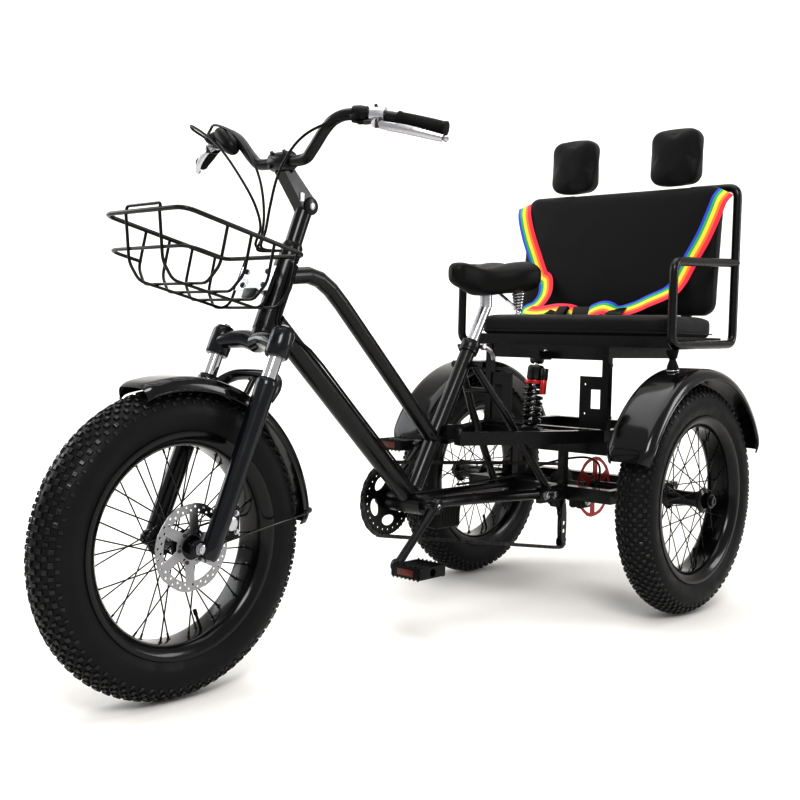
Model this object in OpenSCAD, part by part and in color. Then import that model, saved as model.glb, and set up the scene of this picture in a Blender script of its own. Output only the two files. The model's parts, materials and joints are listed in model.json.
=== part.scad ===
// Fat-tyre passenger tricycle: one steered front wheel, two rear wheels, rider saddle, two-seat bench.
// Front faces -Y, the vehicle's left is +X, up is +Z. Lengths in millimetres.

/* [Wheels] */
// Outer radius of each tyre
tyre_r = 285; // [280:1:288]
// Section radius of each tyre (half its width)
tyre_w = 50; // [48:1:50]
// Distance from front axle to rear axle
wheelbase = 1300; // [1290:5:1310]
// Half of the rear track
half_track = 335; // [335:1:340]
// Number of spokes in each wheel
spokes = 36; // [24:4:40]

/* [Frame] */
// Radius of the down tube
down_r = 22; // [20:1:23]
// Radius of the top tube
top_r = 17; // [15:1:18]
// Radius of the seatpost
post_r = 13.6; // [13.6:0.1:13.6]
// Side of the square tubes of the rear frame
sq = 30; // [28:1:30]

/* [Bench] */
// Half width of the seat frame
bench_hw = 300; // [296:1:302]
// Thickness of the seat cushion
seat_t = 50; // [44:1:52]
// Half width of the back cushion
back_hw = 303; // [298:1:305]
// Width of each headrest
headrest_w = 148; // [140:1:156]

/* [Steering] */
// Reach of each grip end from the middle
bar_hw = 347; // [340:1:350]
// Radius of the handlebar tube
bar_r = 11.1; // [11:0.1:11.1]

/* [Basket] */
// Half width of the basket at the rim
basket_hw = 120; // [115:1:125]
// Wire radius of the basket frame
wire_r = 4; // [3.5:0.5:4]

/* [Hidden] */
$fn = 64;

// The frame's own points, with the front axle at y = 0; everything is shifted to centre the part.
fender_r = 318;
shift = [0, -(wheelbase + (fender_r + 5) * cos(20) - tyre_r) / 2, 0];
axle_z = tyre_r;
rear_y = wheelbase;
head_tilt = 22.8;
trail_off = 43;
steer_o = [0, trail_off * cos(head_tilt), axle_z - trail_off * sin(head_tilt)];
head_lo = 439;
head_hi = 583;
steerer_r = 17;
fit = 0.05;
leg_x = 87;
leg_y = -24;
bb = [0, 642, 298];
ring_x = -62;
seat_lo = [0, 660, 330];
seat_top = [0, 853, 657];
seat_dir = (seat_top - seat_lo) / norm(seat_top - seat_lo);
crank_l = 165;
crank_a = 223.8;
cog_x = -40;
rot_x = 68;

// Places children in the steering space: local Z runs up the steering axis.
module steer() translate(steer_o) rotate([-head_tilt, 0, 0]) children();
function steer_pt(p) = steer_o + [p.x, p.y * cos(head_tilt) + p.z * sin(head_tilt),
  -p.y * sin(head_tilt) + p.z * cos(head_tilt)];

// A straight round rod between two points.
module rod(a, b, r) {
  v = b - a;
  l = norm(v);
  translate(a) rotate([0, acos(v.z / l), atan2(v.y, v.x)]) cylinder(r = r, h = l);
}
// A bent round tube through several points.
module run(pts, r) {
  for (i = [0 : len(pts) - 2]) rod(pts[i], pts[i + 1], r);
  if (len(pts) > 2)
    for (i = [1 : len(pts) - 2]) translate(pts[i]) sphere(r = r + 0.15);
}
// A box given by its two opposite corners.
module box(a, b) translate(a) cube(b - a);
// A cylinder along X between two x values at (y, z).
module barx(x0, x1, y, z, r) translate([x0, y, z]) rotate([0, 90, 0]) cylinder(r = r, h = x1 - x0);
module both() {
  children();
  mirror([1, 0, 0]) children();
}
// A square tube whose centre line runs from a to b in one horizontal plane.
module sqbeam(a, b, w, h) {
  v = b - a;
  translate(a) rotate([0, 0, atan2(v.y, v.x)]) translate([0, -w / 2, -h / 2]) cube([norm(v), w, h]);
}

// ---- cable sweep: a closed tube of many-sided rings along the points
function unit(v) = v / norm(v);
function tang(p, i) = unit(i == 0 ? p[1] - p[0]
  : i == len(p) - 1 ? p[i] - p[i - 1] : unit(p[i + 1] - p[i]) + unit(p[i] - p[i - 1]));
function cat(p, i, t) = let (a = p[max(i - 1, 0)], b = p[i], c = p[i + 1], d = p[min(i + 2, len(p) - 1)])
  0.5 * (2 * b + (c - a) * t + (2 * a - 5 * b + 4 * c - d) * t * t + (3 * b - 3 * c + d - a) * t * t * t);
function smooth(p, n) = concat([for (i = [0 : len(p) - 2]) for (k = [0 : n - 1]) cat(p, i, k / n)],
  [p[len(p) - 1]]);
function ring_at(p, i, r, n) = let (t = tang(p, i), u = unit(cross(t, abs(t.x) > 0.8 ? [0, 1, 0] : [1, 0, 0])),
  w = cross(t, u)) [for (k = [0 : n - 1]) p[i] + r * (cos(360 * k / n) * u + sin(360 * k / n) * w)];
module sweep(p, r, n = 8) {
  m = len(p);
  pts = [for (i = [0 : m - 1]) each ring_at(p, i, r, n)];
  faces = concat([[for (k = [0 : n - 1]) k]],
    [for (i = [0 : m - 2]) for (k = [0 : n - 1])
      [i * n + k, (i + 1) * n + k, (i + 1) * n + (k + 1) % n, i * n + (k + 1) % n]],
    [[for (k = [n - 1 : -1 : 0]) (m - 1) * n + k]]);
  polyhedron(points = pts, faces = faces);
}

// ---- wheels, built round the origin with the axle along X
module tyre_solid() rotate([0, 90, 0]) rotate_extrude($fn = 96) difference() {
  translate([tyre_r - tyre_w, 0]) circle(r = tyre_w);
  translate([tyre_r - tyre_w, 0]) circle(r = tyre_w - 6);
  translate([0, -tyre_w - 1]) square([203, 2 * tyre_w + 2]);
}
module rim_solid() rotate([0, 90, 0]) rotate_extrude($fn = 96) polygon([
  [206.5, 41.3], [206.5, 43.3], [199, 43.3], [188, 38], [179, 24], [179, -24], [188, -38],
  [199, -43.3], [206.5, -43.3], [206.5, -41.3], [203, -41.3], [203, -29], [198, -29],
  [191, -34], [183, -21], [183, 21], [191, 34], [198, 29], [203, 29], [203, 41.3]]);
// Hub shell with two flanges at x = -f and f, and the spokes out to the rim.
module hub_solid(f, hw, shell_r, flange_r) {
  barx(-hw, hw, 0, 0, shell_r);
  for (s = [-1, 1]) barx(s * f - 2, s * f + 2, 0, 0, flange_r);
  for (i = [0 : spokes - 1]) {
    s = i % 2 == 0 ? 1 : -1;
    rotate([i * 360 / spokes, 0, 0]) rod([s * f, 0, flange_r - 4], [s * 10, 0, 178.9], 1.3);
  }
}
module rotor_disc(r) rotate([0, 90, 0]) difference() {
  cylinder(r = r, h = 2, center = true, $fn = 96);
  cylinder(r = 22, h = 4, center = true);
  for (i = [0 : 7]) rotate([0, 0, i * 45]) translate([r - 26, 0, 0]) cylinder(r = 11, h = 4, center = true);
  for (i = [0 : 23]) rotate([0, 0, i * 15]) translate([r - 8, 0, 0]) cylinder(r = 2.6, h = 4, center = true, $fn = 24);
}

// ---- root: main frame
module main_frame() color([0.07, 0.07, 0.08]) difference() {
  union() {
    steer() translate([0, 0, head_lo]) cylinder(r = 24, h = head_hi - head_lo);
    rod([0, 236, 690], [0, 632, 320], down_r);
    run([[0, 262, 781], [0, 322, 787], [0, 354, 780], [0, 386, 761], [0, 418, 733], [0, 712, 446]], top_r);
    rod(seat_lo, seat_top, 18);
    rod(seat_top - 26 * seat_dir, seat_top, 22);
    barx(-50, 50, bb.y, bb.z, 23);
    both() {
      run([[38, 650, 297], [46, 800, 296], [83, 1112, 288]], 13);
      run([[20, 840, 606], [48, 920, 498], [82, 1068, 298]], 9.5);
      box([74, 1030, 268], [88, 1134, 308]);
      box([30, 726, 438], [36, 786, 470]);
    }
    rod([-34, 880, 545], [34, 880, 545], 7);
    barx(-40, 40, 838, 606, 9);
    box([-30, 700, 438], [30, 740, 446]);
  }
  steer() translate([0, 0, head_lo - 20]) cylinder(r = steerer_r + fit, h = head_hi - head_lo + 40);
  rod(seat_lo + 60 * seat_dir, seat_top + 40 * seat_dir, post_r + fit);
  barx(-60, 60, bb.y, bb.z, 12 + fit);
}

// ---- root: rear frame with the axle housings
module rear_frame() color([0.07, 0.07, 0.08]) difference() {
  union() {
    barx(-29.7, 29.7, 770, 454, 15);
    both() {
      sqbeam([22, 782, 435], [182, 1140, 435], sq, sq);
      box([167, 1135, 420], [197, 1500, 450]);
      box([62, 1138, 300], [80, 1158, 392]);
      box([190, 1165, 271], [220, 1470, 301]);
      box([196, 1274, 268], [214, 1326, 330]);
      barx(90, 262, rear_y, axle_z, 17);
      barx(240, 262, rear_y, axle_z, 21);
      box([176, 1285, 300], [194, 1315, 421]);
    }
    box([-197, 1135, 420], [197, 1165, 450]);
    box([-206, 1135, 389], [206, 1165, 420]);
    box([-197, 1470, 420], [197, 1500, 450]);
    box([-220, 1135, 270], [220, 1165, 303]);
    box([-220, 1440, 271], [220, 1470, 301]);
    box([-30, 1075, 424], [30, 1136, 446]);
    sqbeam([-160, 1090, 435], [160, 1090, 435], 20, 20);
    box([88.2, 1090, 276], [100, 1140, 300]);
    box([-100, 1090, 276], [-88.2, 1140, 300]);
  }
  barx(-300, 300, rear_y, axle_z, 10);
}

// ---- root: bench frame with the battery brackets
module bracket_plate() difference() {
  box([106, 1160, 452], [173, 1164, 580]);
  box([137, 1150, 500], [166, 1170, 548]);
  for (z = [487, 560]) translate([121, 1150, z]) rotate([-90, 0, 0]) cylinder(r = 3.2, h = 30);
}
module bench_frame() color([0.07, 0.07, 0.08]) {
    both() {
      box([172, 1156, 450.2], [190, 1174, 655]);
      bracket_plate();
      box([bench_hw - 28, 1246, 655], [bench_hw, 1524, 683]);
      box([172, 1170, 627], [190, 1500, 656]);
      multmatrix([[1, 0, 0, 0], [0, 1, 0.087, -59], [0, 0, 1, 0], [0, 0, 0, 1]])
        box([186, 1512, 683], [214, 1520, 1088]);
    }
    box([-bench_hw, 1246, 655], [bench_hw, 1274, 683]);
    box([-bench_hw, 1496, 655], [bench_hw, 1524, 683]);
    box([-180, 1162, 627], [180, 1496, 631]);
    box([-180, 1160, 621], [180, 1168, 654]);
    box([-189, 1166, 640], [189, 1260, 656]);
    box([-14, 1112, 618], [14, 1166, 640]);
}
module armrest() {
  run([[325, 1216, 662], [325, 1216, 848], [325, 1232, 866], [325, 1539, 880]], 11);
  run([[205, 1539, 1076], [302, 1539, 1076], [319, 1539, 1067], [325, 1539, 1048], [325, 1539, 700],
    [325, 1510, 669], [325, 1216, 662]], 11);
  rod([325, 1216, 662], [325, 1216, 655.1], 11);
  rod([325, 1260, 669], [bench_hw, 1260, 669], 9);
  rod([325, 1500, 669], [bench_hw, 1500, 669], 9);
}
module armrest_left() color([0.07, 0.07, 0.08]) armrest();
module armrest_right() color([0.07, 0.07, 0.08]) mirror([1, 0, 0]) armrest();

// ---- root: soft parts of the bench
module seat_cushion() color([0.09, 0.09, 0.09])
  box([-(bench_hw - 10), 1252, 683.2], [bench_hw - 10, 1500, 683.2 + seat_t]);
module back_cushion() color([0.09, 0.09, 0.09]) translate([-back_hw, 0, 0]) rotate([90, 0, 90])
  linear_extrude(2 * back_hw) polygon([[1452, 737.5], [1482, 1086], [1523, 1082], [1493, 733.6]]);
module headrest() {
  box([160 - headrest_w / 2, 1484, 1088], [160 + headrest_w / 2, 1540, 1239]);
  rod([160, 1508, 1084.8], [160, 1510, 1092], 9);
}
module headrest_left() color([0.09, 0.09, 0.09]) headrest();
module headrest_right() color([0.09, 0.09, 0.09]) mirror([1, 0, 0]) headrest();
module belt_strip() linear_extrude(50) polygon([[1478, 1079], [1451.6, 737], [1448, 733.6],
  [1290, 733.6], [1290, 737], [1446, 737], [1449, 740], [1474, 1079]]);
module seat_belts() color([0.9, 0.5, 0.2]) both() translate([230, 0, 0]) rotate([90, 0, 90]) belt_strip();

// ---- root: rear fenders, on a rubber mount under each armrest
// Fender shell about the X axis, from angle a0 to a1 measured from +Y towards +Z.
module fender_arc(ri, hw, a0, a1) rotate([a0 + 90, 0, 0]) rotate([0, 90, 0])
  rotate_extrude(angle = a1 - a0, $fn = 96)
  polygon([[ri - 22, -hw], [ri - 20.5, -hw - 2], [ri - 4, -hw + 9], [ri + 2, -hw + 24],
    [ri + 5, 0], [ri + 2, hw - 24], [ri - 4, hw - 9], [ri - 20.5, hw + 2], [ri - 22, hw],
    [ri - 6, hw - 11], [ri, hw - 24.5], [ri + 2.6, 0], [ri, -hw + 24.5], [ri - 6, -hw + 11]]);
module rear_fender() {
  translate([half_track, rear_y, axle_z]) fender_arc(fender_r, 60, 20, 160);
  difference() {
    rod([325, 1228, 590], [325, 1222, 651], 12);
    translate([half_track, rear_y, axle_z]) rotate([0, 90, 0]) cylinder(r = 321.5, h = 200, center = true, $fn = 96);
  }
}
module rear_fender_left() color([0.06, 0.06, 0.07]) rear_fender();
module rear_fender_right() color([0.06, 0.06, 0.07]) mirror([1, 0, 0]) rear_fender();

// ---- root: shock absorber, fixed in its rest position
module shock_absorber() color([0.6, 0.1, 0.1]) {
  rod([0, 1100, 446.2], [0, 1122, 617.8], 9);
  rod([0, 1103, 470], [0, 1113, 545], 24);
  rod([0, 1113, 545], [0, 1120, 604], 20);
}

// ---- root: basket, fixed to the head tube by a plate
// Built level in its own space (rim at z = 0), then tipped so that its front is higher.
module rail(hw, u0, u1, z, t) difference() {
  box([-hw - t / 2, u0 - t / 2, z - t / 2], [hw + t / 2, u1 + t / 2, z + t / 2]);
  box([-hw + t / 2, u0 + t / 2, z - t], [hw - t / 2, u1 - t / 2, z + t]);
}
basket_l = 285;
wire = 2.8;
module cube_at(p, h) translate(p) cube(2 * h, center = true);
module basket() color([0.08, 0.08, 0.08]) translate([0, -72, 877]) rotate([-12.8, 0, 0]) {
  w = basket_hw;
  rail(w, 0, basket_l, 0, 2 * wire_r);
  // lower rail round the front
  box([-w - 3, 20, -63], [w + 3, 26, -57]);
  for (s = [-1, 1]) box([s * w - 3, 22, -63], [s * w + 3, 96, -57]);
  // wires from side to side, down one wall, under the floor and up the other
  for (u = [95, 150, 205, 262]) {
    for (s = [-1, 1]) {
      box([s * w - wire, u - wire, -76], [s * w + wire, u + wire, 1]);
      rod([s * w, u, -73], [s * 92, u, -105], wire - 0.2);
    }
    box([-95, u - wire, -105 - wire], [95, u + wire, -105 + wire]);
  }
  // wires from front to back, with a low hoop above the front rail
  for (x = [-50, 50]) {
    box([x - wire, 0 - wire, -2], [x + wire, wire, 13]);
    rod([x, 0, 0], [x, 27, -84], wire - 0.2);
    cube_at([x, 27, -84], 3.1);
    rod([x, 27, -84], [x, 55, -110], wire - 0.2);
    box([x - 2.9, 52, -113], [x + 2.9, 253, -107.2]);
    rod([x, 250, -110], [x, 266, -94], wire - 0.2);
    cube_at([x, 266, -94], 3.1);
    rod([x, 266, -94], [x, 284, 0], wire - 0.2);
  }
  box([-50, -2.6, 8], [50, 2.6, 12.8]);
}
module basket_plate() color([0.75, 0.75, 0.76]) steer() difference() {
  union() {
    box([-48.6, -62, 497], [48.6, -58, 547]);
    box([-12, -58.5, 505], [12, -23.2, 540]);
  }
  for (x = [-30, 30]) for (z = [508, 536]) translate([x, -70, z]) rotate([-90, 0, 0]) cylinder(r = 3, h = 20);
}

// ---- root: drive parts that stay with the frame
module controller_box() color([0.06, 0.06, 0.06]) box([-30, 706, 232], [30, 792, 283.6]);
module derailleur() color([0.08, 0.08, 0.08]) {
  box([-52, 1318, 108], [-48, 1350, 232]);
  barx(-48, -40, 1334, 118, 10);
  barx(-48, -40, 1332, 200, 10);
  box([-84, 1316, 214], [-52, 1346, 250]);
  box([-88, 1302, 236], [-84, 1346, 268]);
}
module chain() color([0.3, 0.3, 0.3]) {
  k = 7 / 658;
  multmatrix([[1, k, 0, -k * 642], [0, 1, 0, 0], [0, 0, 1, 0], [0, 0, 0, 1]]) {
    translate([-64.3, 0, 0]) rotate([90, 0, 90]) linear_extrude(4.6) polygon([[636, 385.9], [636, 379.9], [1300, 332], [1300, 339]]);
    translate([-64.3, 0, 0]) rotate([90, 0, 90]) linear_extrude(4.6) polygon([[636, 216.1], [636, 210.1], [1316, 100], [1316, 107]]);
  }
  translate([-64.5, bb.y, bb.z]) rotate([0, 90, 0]) rotate([0, 0, 0]) difference() {
    cylinder(r = 88.5, h = 5);
    translate([0, 0, -1]) cylinder(r = 81.5, h = 7);
    translate([-120, 0, -1]) cube([240, 120, 7]);
  }
}
function down_pt(s, off, x) = [x, 236 + 0.7307 * s + 0.6827 * off, 690 - 0.6827 * s + 0.7307 * off];
down_path = smooth([steer_pt([29, -6, 578]), steer_pt([29, -2, 500]), steer_pt([29, 14, 452]),
  down_pt(90, 12, 25), down_pt(260, 16, 20.5), down_pt(500, 17, 20)], 3);
module frame_cables() color([0.03, 0.03, 0.03]) sweep(down_path, 2.6);

// ---- steering body
module fork_crown() color([0.08, 0.09, 0.11]) steer() {
  translate([0, 0, 400]) cylinder(r = steerer_r, h = 211);
  translate([0, 0, 424]) cylinder(r = 23, h = 14.6);
  difference() {
    union() {
      box([-leg_x, leg_y - 16, 392], [leg_x, leg_y + 34, 424]);
      both() translate([leg_x, leg_y, 378]) cylinder(r = 23, h = 52);
    }
    translate([0, leg_y - 30, 380]) rotate([-90, 0, 0]) cylinder(r = 18, h = 100);
  }
  both() translate([leg_x, leg_y, 270]) cylinder(r = 14, h = 110);
}
module fork_lowers() color([0.08, 0.08, 0.09]) {
  caliper_body();
  steer() {
  difference() {
    union() {
      both() {
        translate([leg_x, leg_y, -8]) cylinder(r = 19, h = 334);
        box([70, -58, -14], [82, -20, 30]);
      }
      run([[-leg_x, leg_y + 16, 306], [-leg_x + 8, 6, 340], [-40, 14, 352], [40, 14, 352],
        [leg_x - 8, 6, 340], [leg_x, leg_y + 16, 306]], 9);
    }
    both() translate([leg_x, leg_y, 265]) cylinder(r = 14.05, h = 80);
    barx(-120, 120, -trail_off, 0, 6);
  }
  }
}
module front_axle() color([0.7, 0.7, 0.7]) translate([0, 0, axle_z]) {
  barx(-82, 82, 0, 0, 6);
  for (s = [-1, 1]) translate([s * 87, 0, 0]) rotate([0, 90, 0]) cylinder(r = 10, h = 9.9, center = true);
}
module stem() color([0.08, 0.08, 0.08]) {
  steer() translate([0, 0, 592]) difference() {
    cylinder(r = 21, h = 33.3);
    translate([0, 0, -1]) cylinder(r = steerer_r, h = 20);
  }
  rod([0, 277, 836], [0, 309, 914], 17);
  barx(-19, 19, 313, 922, 18);
  translate([-15, 0, 0]) rotate([90, 0, 90]) linear_extrude(30)
    polygon([[327.2, 933.1], [261.1, 996.6], [243, 982.6], [298.8, 910.9]]);
  difference() {
    barx(-26, 26, 250, 1003, 19);
    barx(-40, 40, 250, 1003, bar_r + fit);
  }
}
bar_pts = [[0, 250, 1003], [62, 249, 1002], [88, 247, 1018], [124, 246, 1053], [154, 246, 1069], [190, 254, 1073],
  [253, 288, 1065], [bar_hw, 324, 1040]];
module handlebar() color([0.08, 0.08, 0.08]) both() run(bar_pts, bar_r);
grip_a = bar_pts[6] + 0.12 * (bar_pts[7] - bar_pts[6]);
module grips() color([0.05, 0.05, 0.05]) both() difference() {
  rod(grip_a, bar_pts[7] + 0.04 * (bar_pts[7] - bar_pts[6]), 16);
  rod(bar_pts[6], bar_pts[7] + 0.01 * (bar_pts[7] - bar_pts[6]), bar_r + fit);
}
module lever() {
  difference() {
    rod(bar_pts[5] + 0.45 * (bar_pts[6] - bar_pts[5]), bar_pts[5] + 0.82 * (bar_pts[6] - bar_pts[5]), 17);
    rod(bar_pts[5], bar_pts[6], bar_r + fit);
  }
  run([[234, 266, 1058.5], [252, 262, 1047], [310, 288, 1034], [352, 312, 1022]], 5);
}
module brake_levers() color([0.75, 0.75, 0.76]) both() lever();
module front_fender() color([0.06, 0.06, 0.07]) {
  translate([0, 0, axle_z]) fender_arc(300, 50, 2, 108);
  rod([0, 303.6 * cos(58), axle_z + 303.6 * sin(58)], [0, 346.6 * cos(58), axle_z + 346.6 * sin(58)], 8);
}
module caliper_body() translate([0, 0, axle_z]) difference() {
  box([46, 62, 6], [66, 100, 66]);
  box([55, 50, 0], [60, 90, 80]);
}
cable_path = smooth([[150, 236, 1066], [86, 206, 1050], [34, 178, 960], [26, 196, 880], steer_pt([24, -12, 594])], 4);
module steering_cables() color([0.03, 0.03, 0.03]) both() sweep(cable_path, 2.6);

// ---- wheels
module at_front() translate([0, 0, axle_z]) children();
module at_rear() translate([half_track, rear_y, axle_z]) children();
module front_tyre() color([0.05, 0.05, 0.05]) at_front() tyre_solid();
module front_rim() color([0.08, 0.08, 0.08]) at_front() rim_solid();
module front_hub() color([0.08, 0.08, 0.08]) at_front() difference() {
  union() {
    hub_solid(36, 54, 17, 29);
    barx(-67, -54, 0, 0, 12);
    barx(58.2, 67, 0, 0, 12);
    barx(50, 56.2, 0, 0, 28);
  }
  barx(-80, 80, 0, 0, 6 + fit);
}
module front_rotor() color([0.75, 0.75, 0.76]) at_front() translate([57.2, 0, 0]) rotor_disc(80);
module rear_hub() {
  hub_solid(46, 69, 19, 31);
  barx(69, 75, 0, 0, 13);
  barx(-170, -69, 0, 0, 10 - fit);
}
module rear_left_tyre() color([0.05, 0.05, 0.05]) at_rear() tyre_solid();
module rear_left_rim() color([0.08, 0.08, 0.08]) at_rear() rim_solid();
module rear_left_hub() color([0.08, 0.08, 0.08]) at_rear() rear_hub();
module rear_right_tyre() color([0.05, 0.05, 0.05]) mirror([1, 0, 0]) at_rear() tyre_solid();
module rear_right_rim() color([0.08, 0.08, 0.08]) mirror([1, 0, 0]) at_rear() rim_solid();
module rear_right_hub() color([0.08, 0.08, 0.08]) mirror([1, 0, 0]) at_rear() rear_hub();

// ---- driven shaft with the sprockets, and the rear brake disc
module drive_shaft() color([0.5, 0.5, 0.5]) translate([0, rear_y, axle_z]) {
  barx(-160, 160, 0, 0, 10 - fit);
  for (i = [0 : 6]) barx(cog_x - 16 + i * 4.6, cog_x - 16 + i * 4.6 + 2, 0, 0, 28 + i * 2.8);
  barx(cog_x - 18, cog_x + 16, 0, 0, 20);
  barx(rot_x - 14, rot_x - 1, 0, 0, 28);
}
module rear_rotor() color([0.8, 0.1, 0.1]) translate([rot_x, rear_y, axle_z]) difference() {
  rotor_disc(80);
}

// ---- crank with its two pedals
module arm_pt() rotate([crank_a, 0, 0]) children();
cr = crank_l;
ca = crank_a;
ped = [0, cr * cos(ca), cr * sin(ca)];
module crankset() color([0.1, 0.1, 0.1]) translate(bb) {
  barx(-84, 84, 0, 0, 12);
  barx(ring_x - 3, ring_x + 3, 0, 0, 78);
  difference() {
    union() {
      rod([78, 0, 0], [78, ped.y, ped.z], 8);
      rod([-78, 0, 0], [-78, -ped.y, -ped.z], 8);
      barx(68, 90, 0, 0, 15);
      barx(-90, -68, 0, 0, 15);
      barx(70, 86, ped.y, ped.z, 13);
      barx(-86, -70, -ped.y, -ped.z, 13);
    }
    barx(60, 100, ped.y, ped.z, 5 + fit);
    barx(-100, -60, -ped.y, -ped.z, 5 + fit);
  }
}
module pedal() {
  barx(66, 176, 0, 0, 5);
  difference() {
    box([98, -41, -12], [178, 41, 12]);
    for (s = [-1, 1]) box([107, s * 23 - 10, -20], [171, s * 23 + 10, 20]);
  }
}
module pedal_left() color([0.05, 0.05, 0.05]) translate(bb + ped) pedal();
module pedal_right() color([0.05, 0.05, 0.05]) translate(bb - ped) mirror([1, 0, 0]) pedal();

// ---- saddle on its post
saddle_at = seat_top + 100 * seat_dir;
module seatpost() color([0.75, 0.75, 0.76]) {
  rod(seat_top - 170 * seat_dir, saddle_at, post_r);
  rod(saddle_at, saddle_at + [0, 0, 46], 15);
}
module saddle() color([0.05, 0.05, 0.05]) {
  translate([0, 0, 798]) linear_extrude(58) hull() {
    translate([0, 800]) circle(r = 26);
    for (s = [-1, 1]) translate([s * 48, 966]) circle(r = 54);
  }
  translate([-30, 880, 789.2]) cube([60, 90, 12]);
}
translate(shift) main_frame();
translate(shift) rear_frame();
translate(shift) bench_frame();
translate(shift) armrest_left();
translate(shift) armrest_right();
translate(shift) seat_cushion();
translate(shift) back_cushion();
translate(shift) headrest_left();
translate(shift) headrest_right();
translate(shift) seat_belts();
translate(shift) rear_fender_left();
translate(shift) rear_fender_right();
translate(shift) shock_absorber();
translate(shift) basket();
translate(shift) basket_plate();
translate(shift) controller_box();
translate(shift) derailleur();
translate(shift) chain();
translate(shift) frame_cables();
translate(shift) fork_crown();
translate(shift) fork_lowers();
translate(shift) front_axle();
translate(shift) stem();
translate(shift) handlebar();
translate(shift) grips();
translate(shift) brake_levers();
translate(shift) front_fender();
translate(shift) steering_cables();
translate(shift) front_tyre();
translate(shift) front_rim();
translate(shift) front_hub();
translate(shift) front_rotor();
translate(shift) rear_left_tyre();
translate(shift) rear_left_rim();
translate(shift) rear_left_hub();
translate(shift) rear_right_tyre();
translate(shift) rear_right_rim();
translate(shift) rear_right_hub();
translate(shift) drive_shaft();
translate(shift) rear_rotor();
translate(shift) crankset();
translate(shift) pedal_left();
translate(shift) pedal_right();
translate(shift) seatpost();
translate(shift) saddle();
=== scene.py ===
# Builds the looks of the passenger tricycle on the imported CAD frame. Places are millimetres in the construction
# frame, with the front axle at y = 0, and P() turns them into metres in the model's own frame. Radii are metres.
import bpy, bmesh, json, math
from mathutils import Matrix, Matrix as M, Vector as V


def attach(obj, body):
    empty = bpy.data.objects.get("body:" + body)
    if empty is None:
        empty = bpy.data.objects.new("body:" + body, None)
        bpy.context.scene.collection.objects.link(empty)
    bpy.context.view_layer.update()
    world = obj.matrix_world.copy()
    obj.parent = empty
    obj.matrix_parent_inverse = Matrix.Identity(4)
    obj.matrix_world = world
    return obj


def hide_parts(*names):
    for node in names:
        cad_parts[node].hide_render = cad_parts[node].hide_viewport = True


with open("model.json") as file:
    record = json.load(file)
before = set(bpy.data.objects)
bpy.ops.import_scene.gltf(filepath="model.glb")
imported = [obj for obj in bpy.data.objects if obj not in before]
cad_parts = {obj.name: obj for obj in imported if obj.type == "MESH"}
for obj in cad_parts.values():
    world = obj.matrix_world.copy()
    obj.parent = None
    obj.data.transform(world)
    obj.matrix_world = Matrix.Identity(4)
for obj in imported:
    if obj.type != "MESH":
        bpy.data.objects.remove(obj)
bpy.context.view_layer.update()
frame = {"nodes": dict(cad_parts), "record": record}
NODES = frame["nodes"]
# The overall length runs from the front tyre (285 ahead of its axle) to the tail of the rear fenders.
SHIFT = -(1300 + 323 * math.cos(math.radians(20)) - 285) / 2
AXLE_Z, REAR_Y, HALF_TRACK = 285, 1300, 335
WHEELS = (("front", (0, 0, AXLE_Z)), ("rear_left", (HALF_TRACK, REAR_Y, AXLE_Z)),
          ("rear_right", (-HALF_TRACK, REAR_Y, AXLE_Z)))
SIDES = (("left", 1), ("right", -1))


def P(x, y, z):
    return V((x, y + SHIFT, z)) / 1000


# ---------------------------------------------------------------- materials
def link(nt, a, b):
    nt.links.new(a, b)


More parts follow.
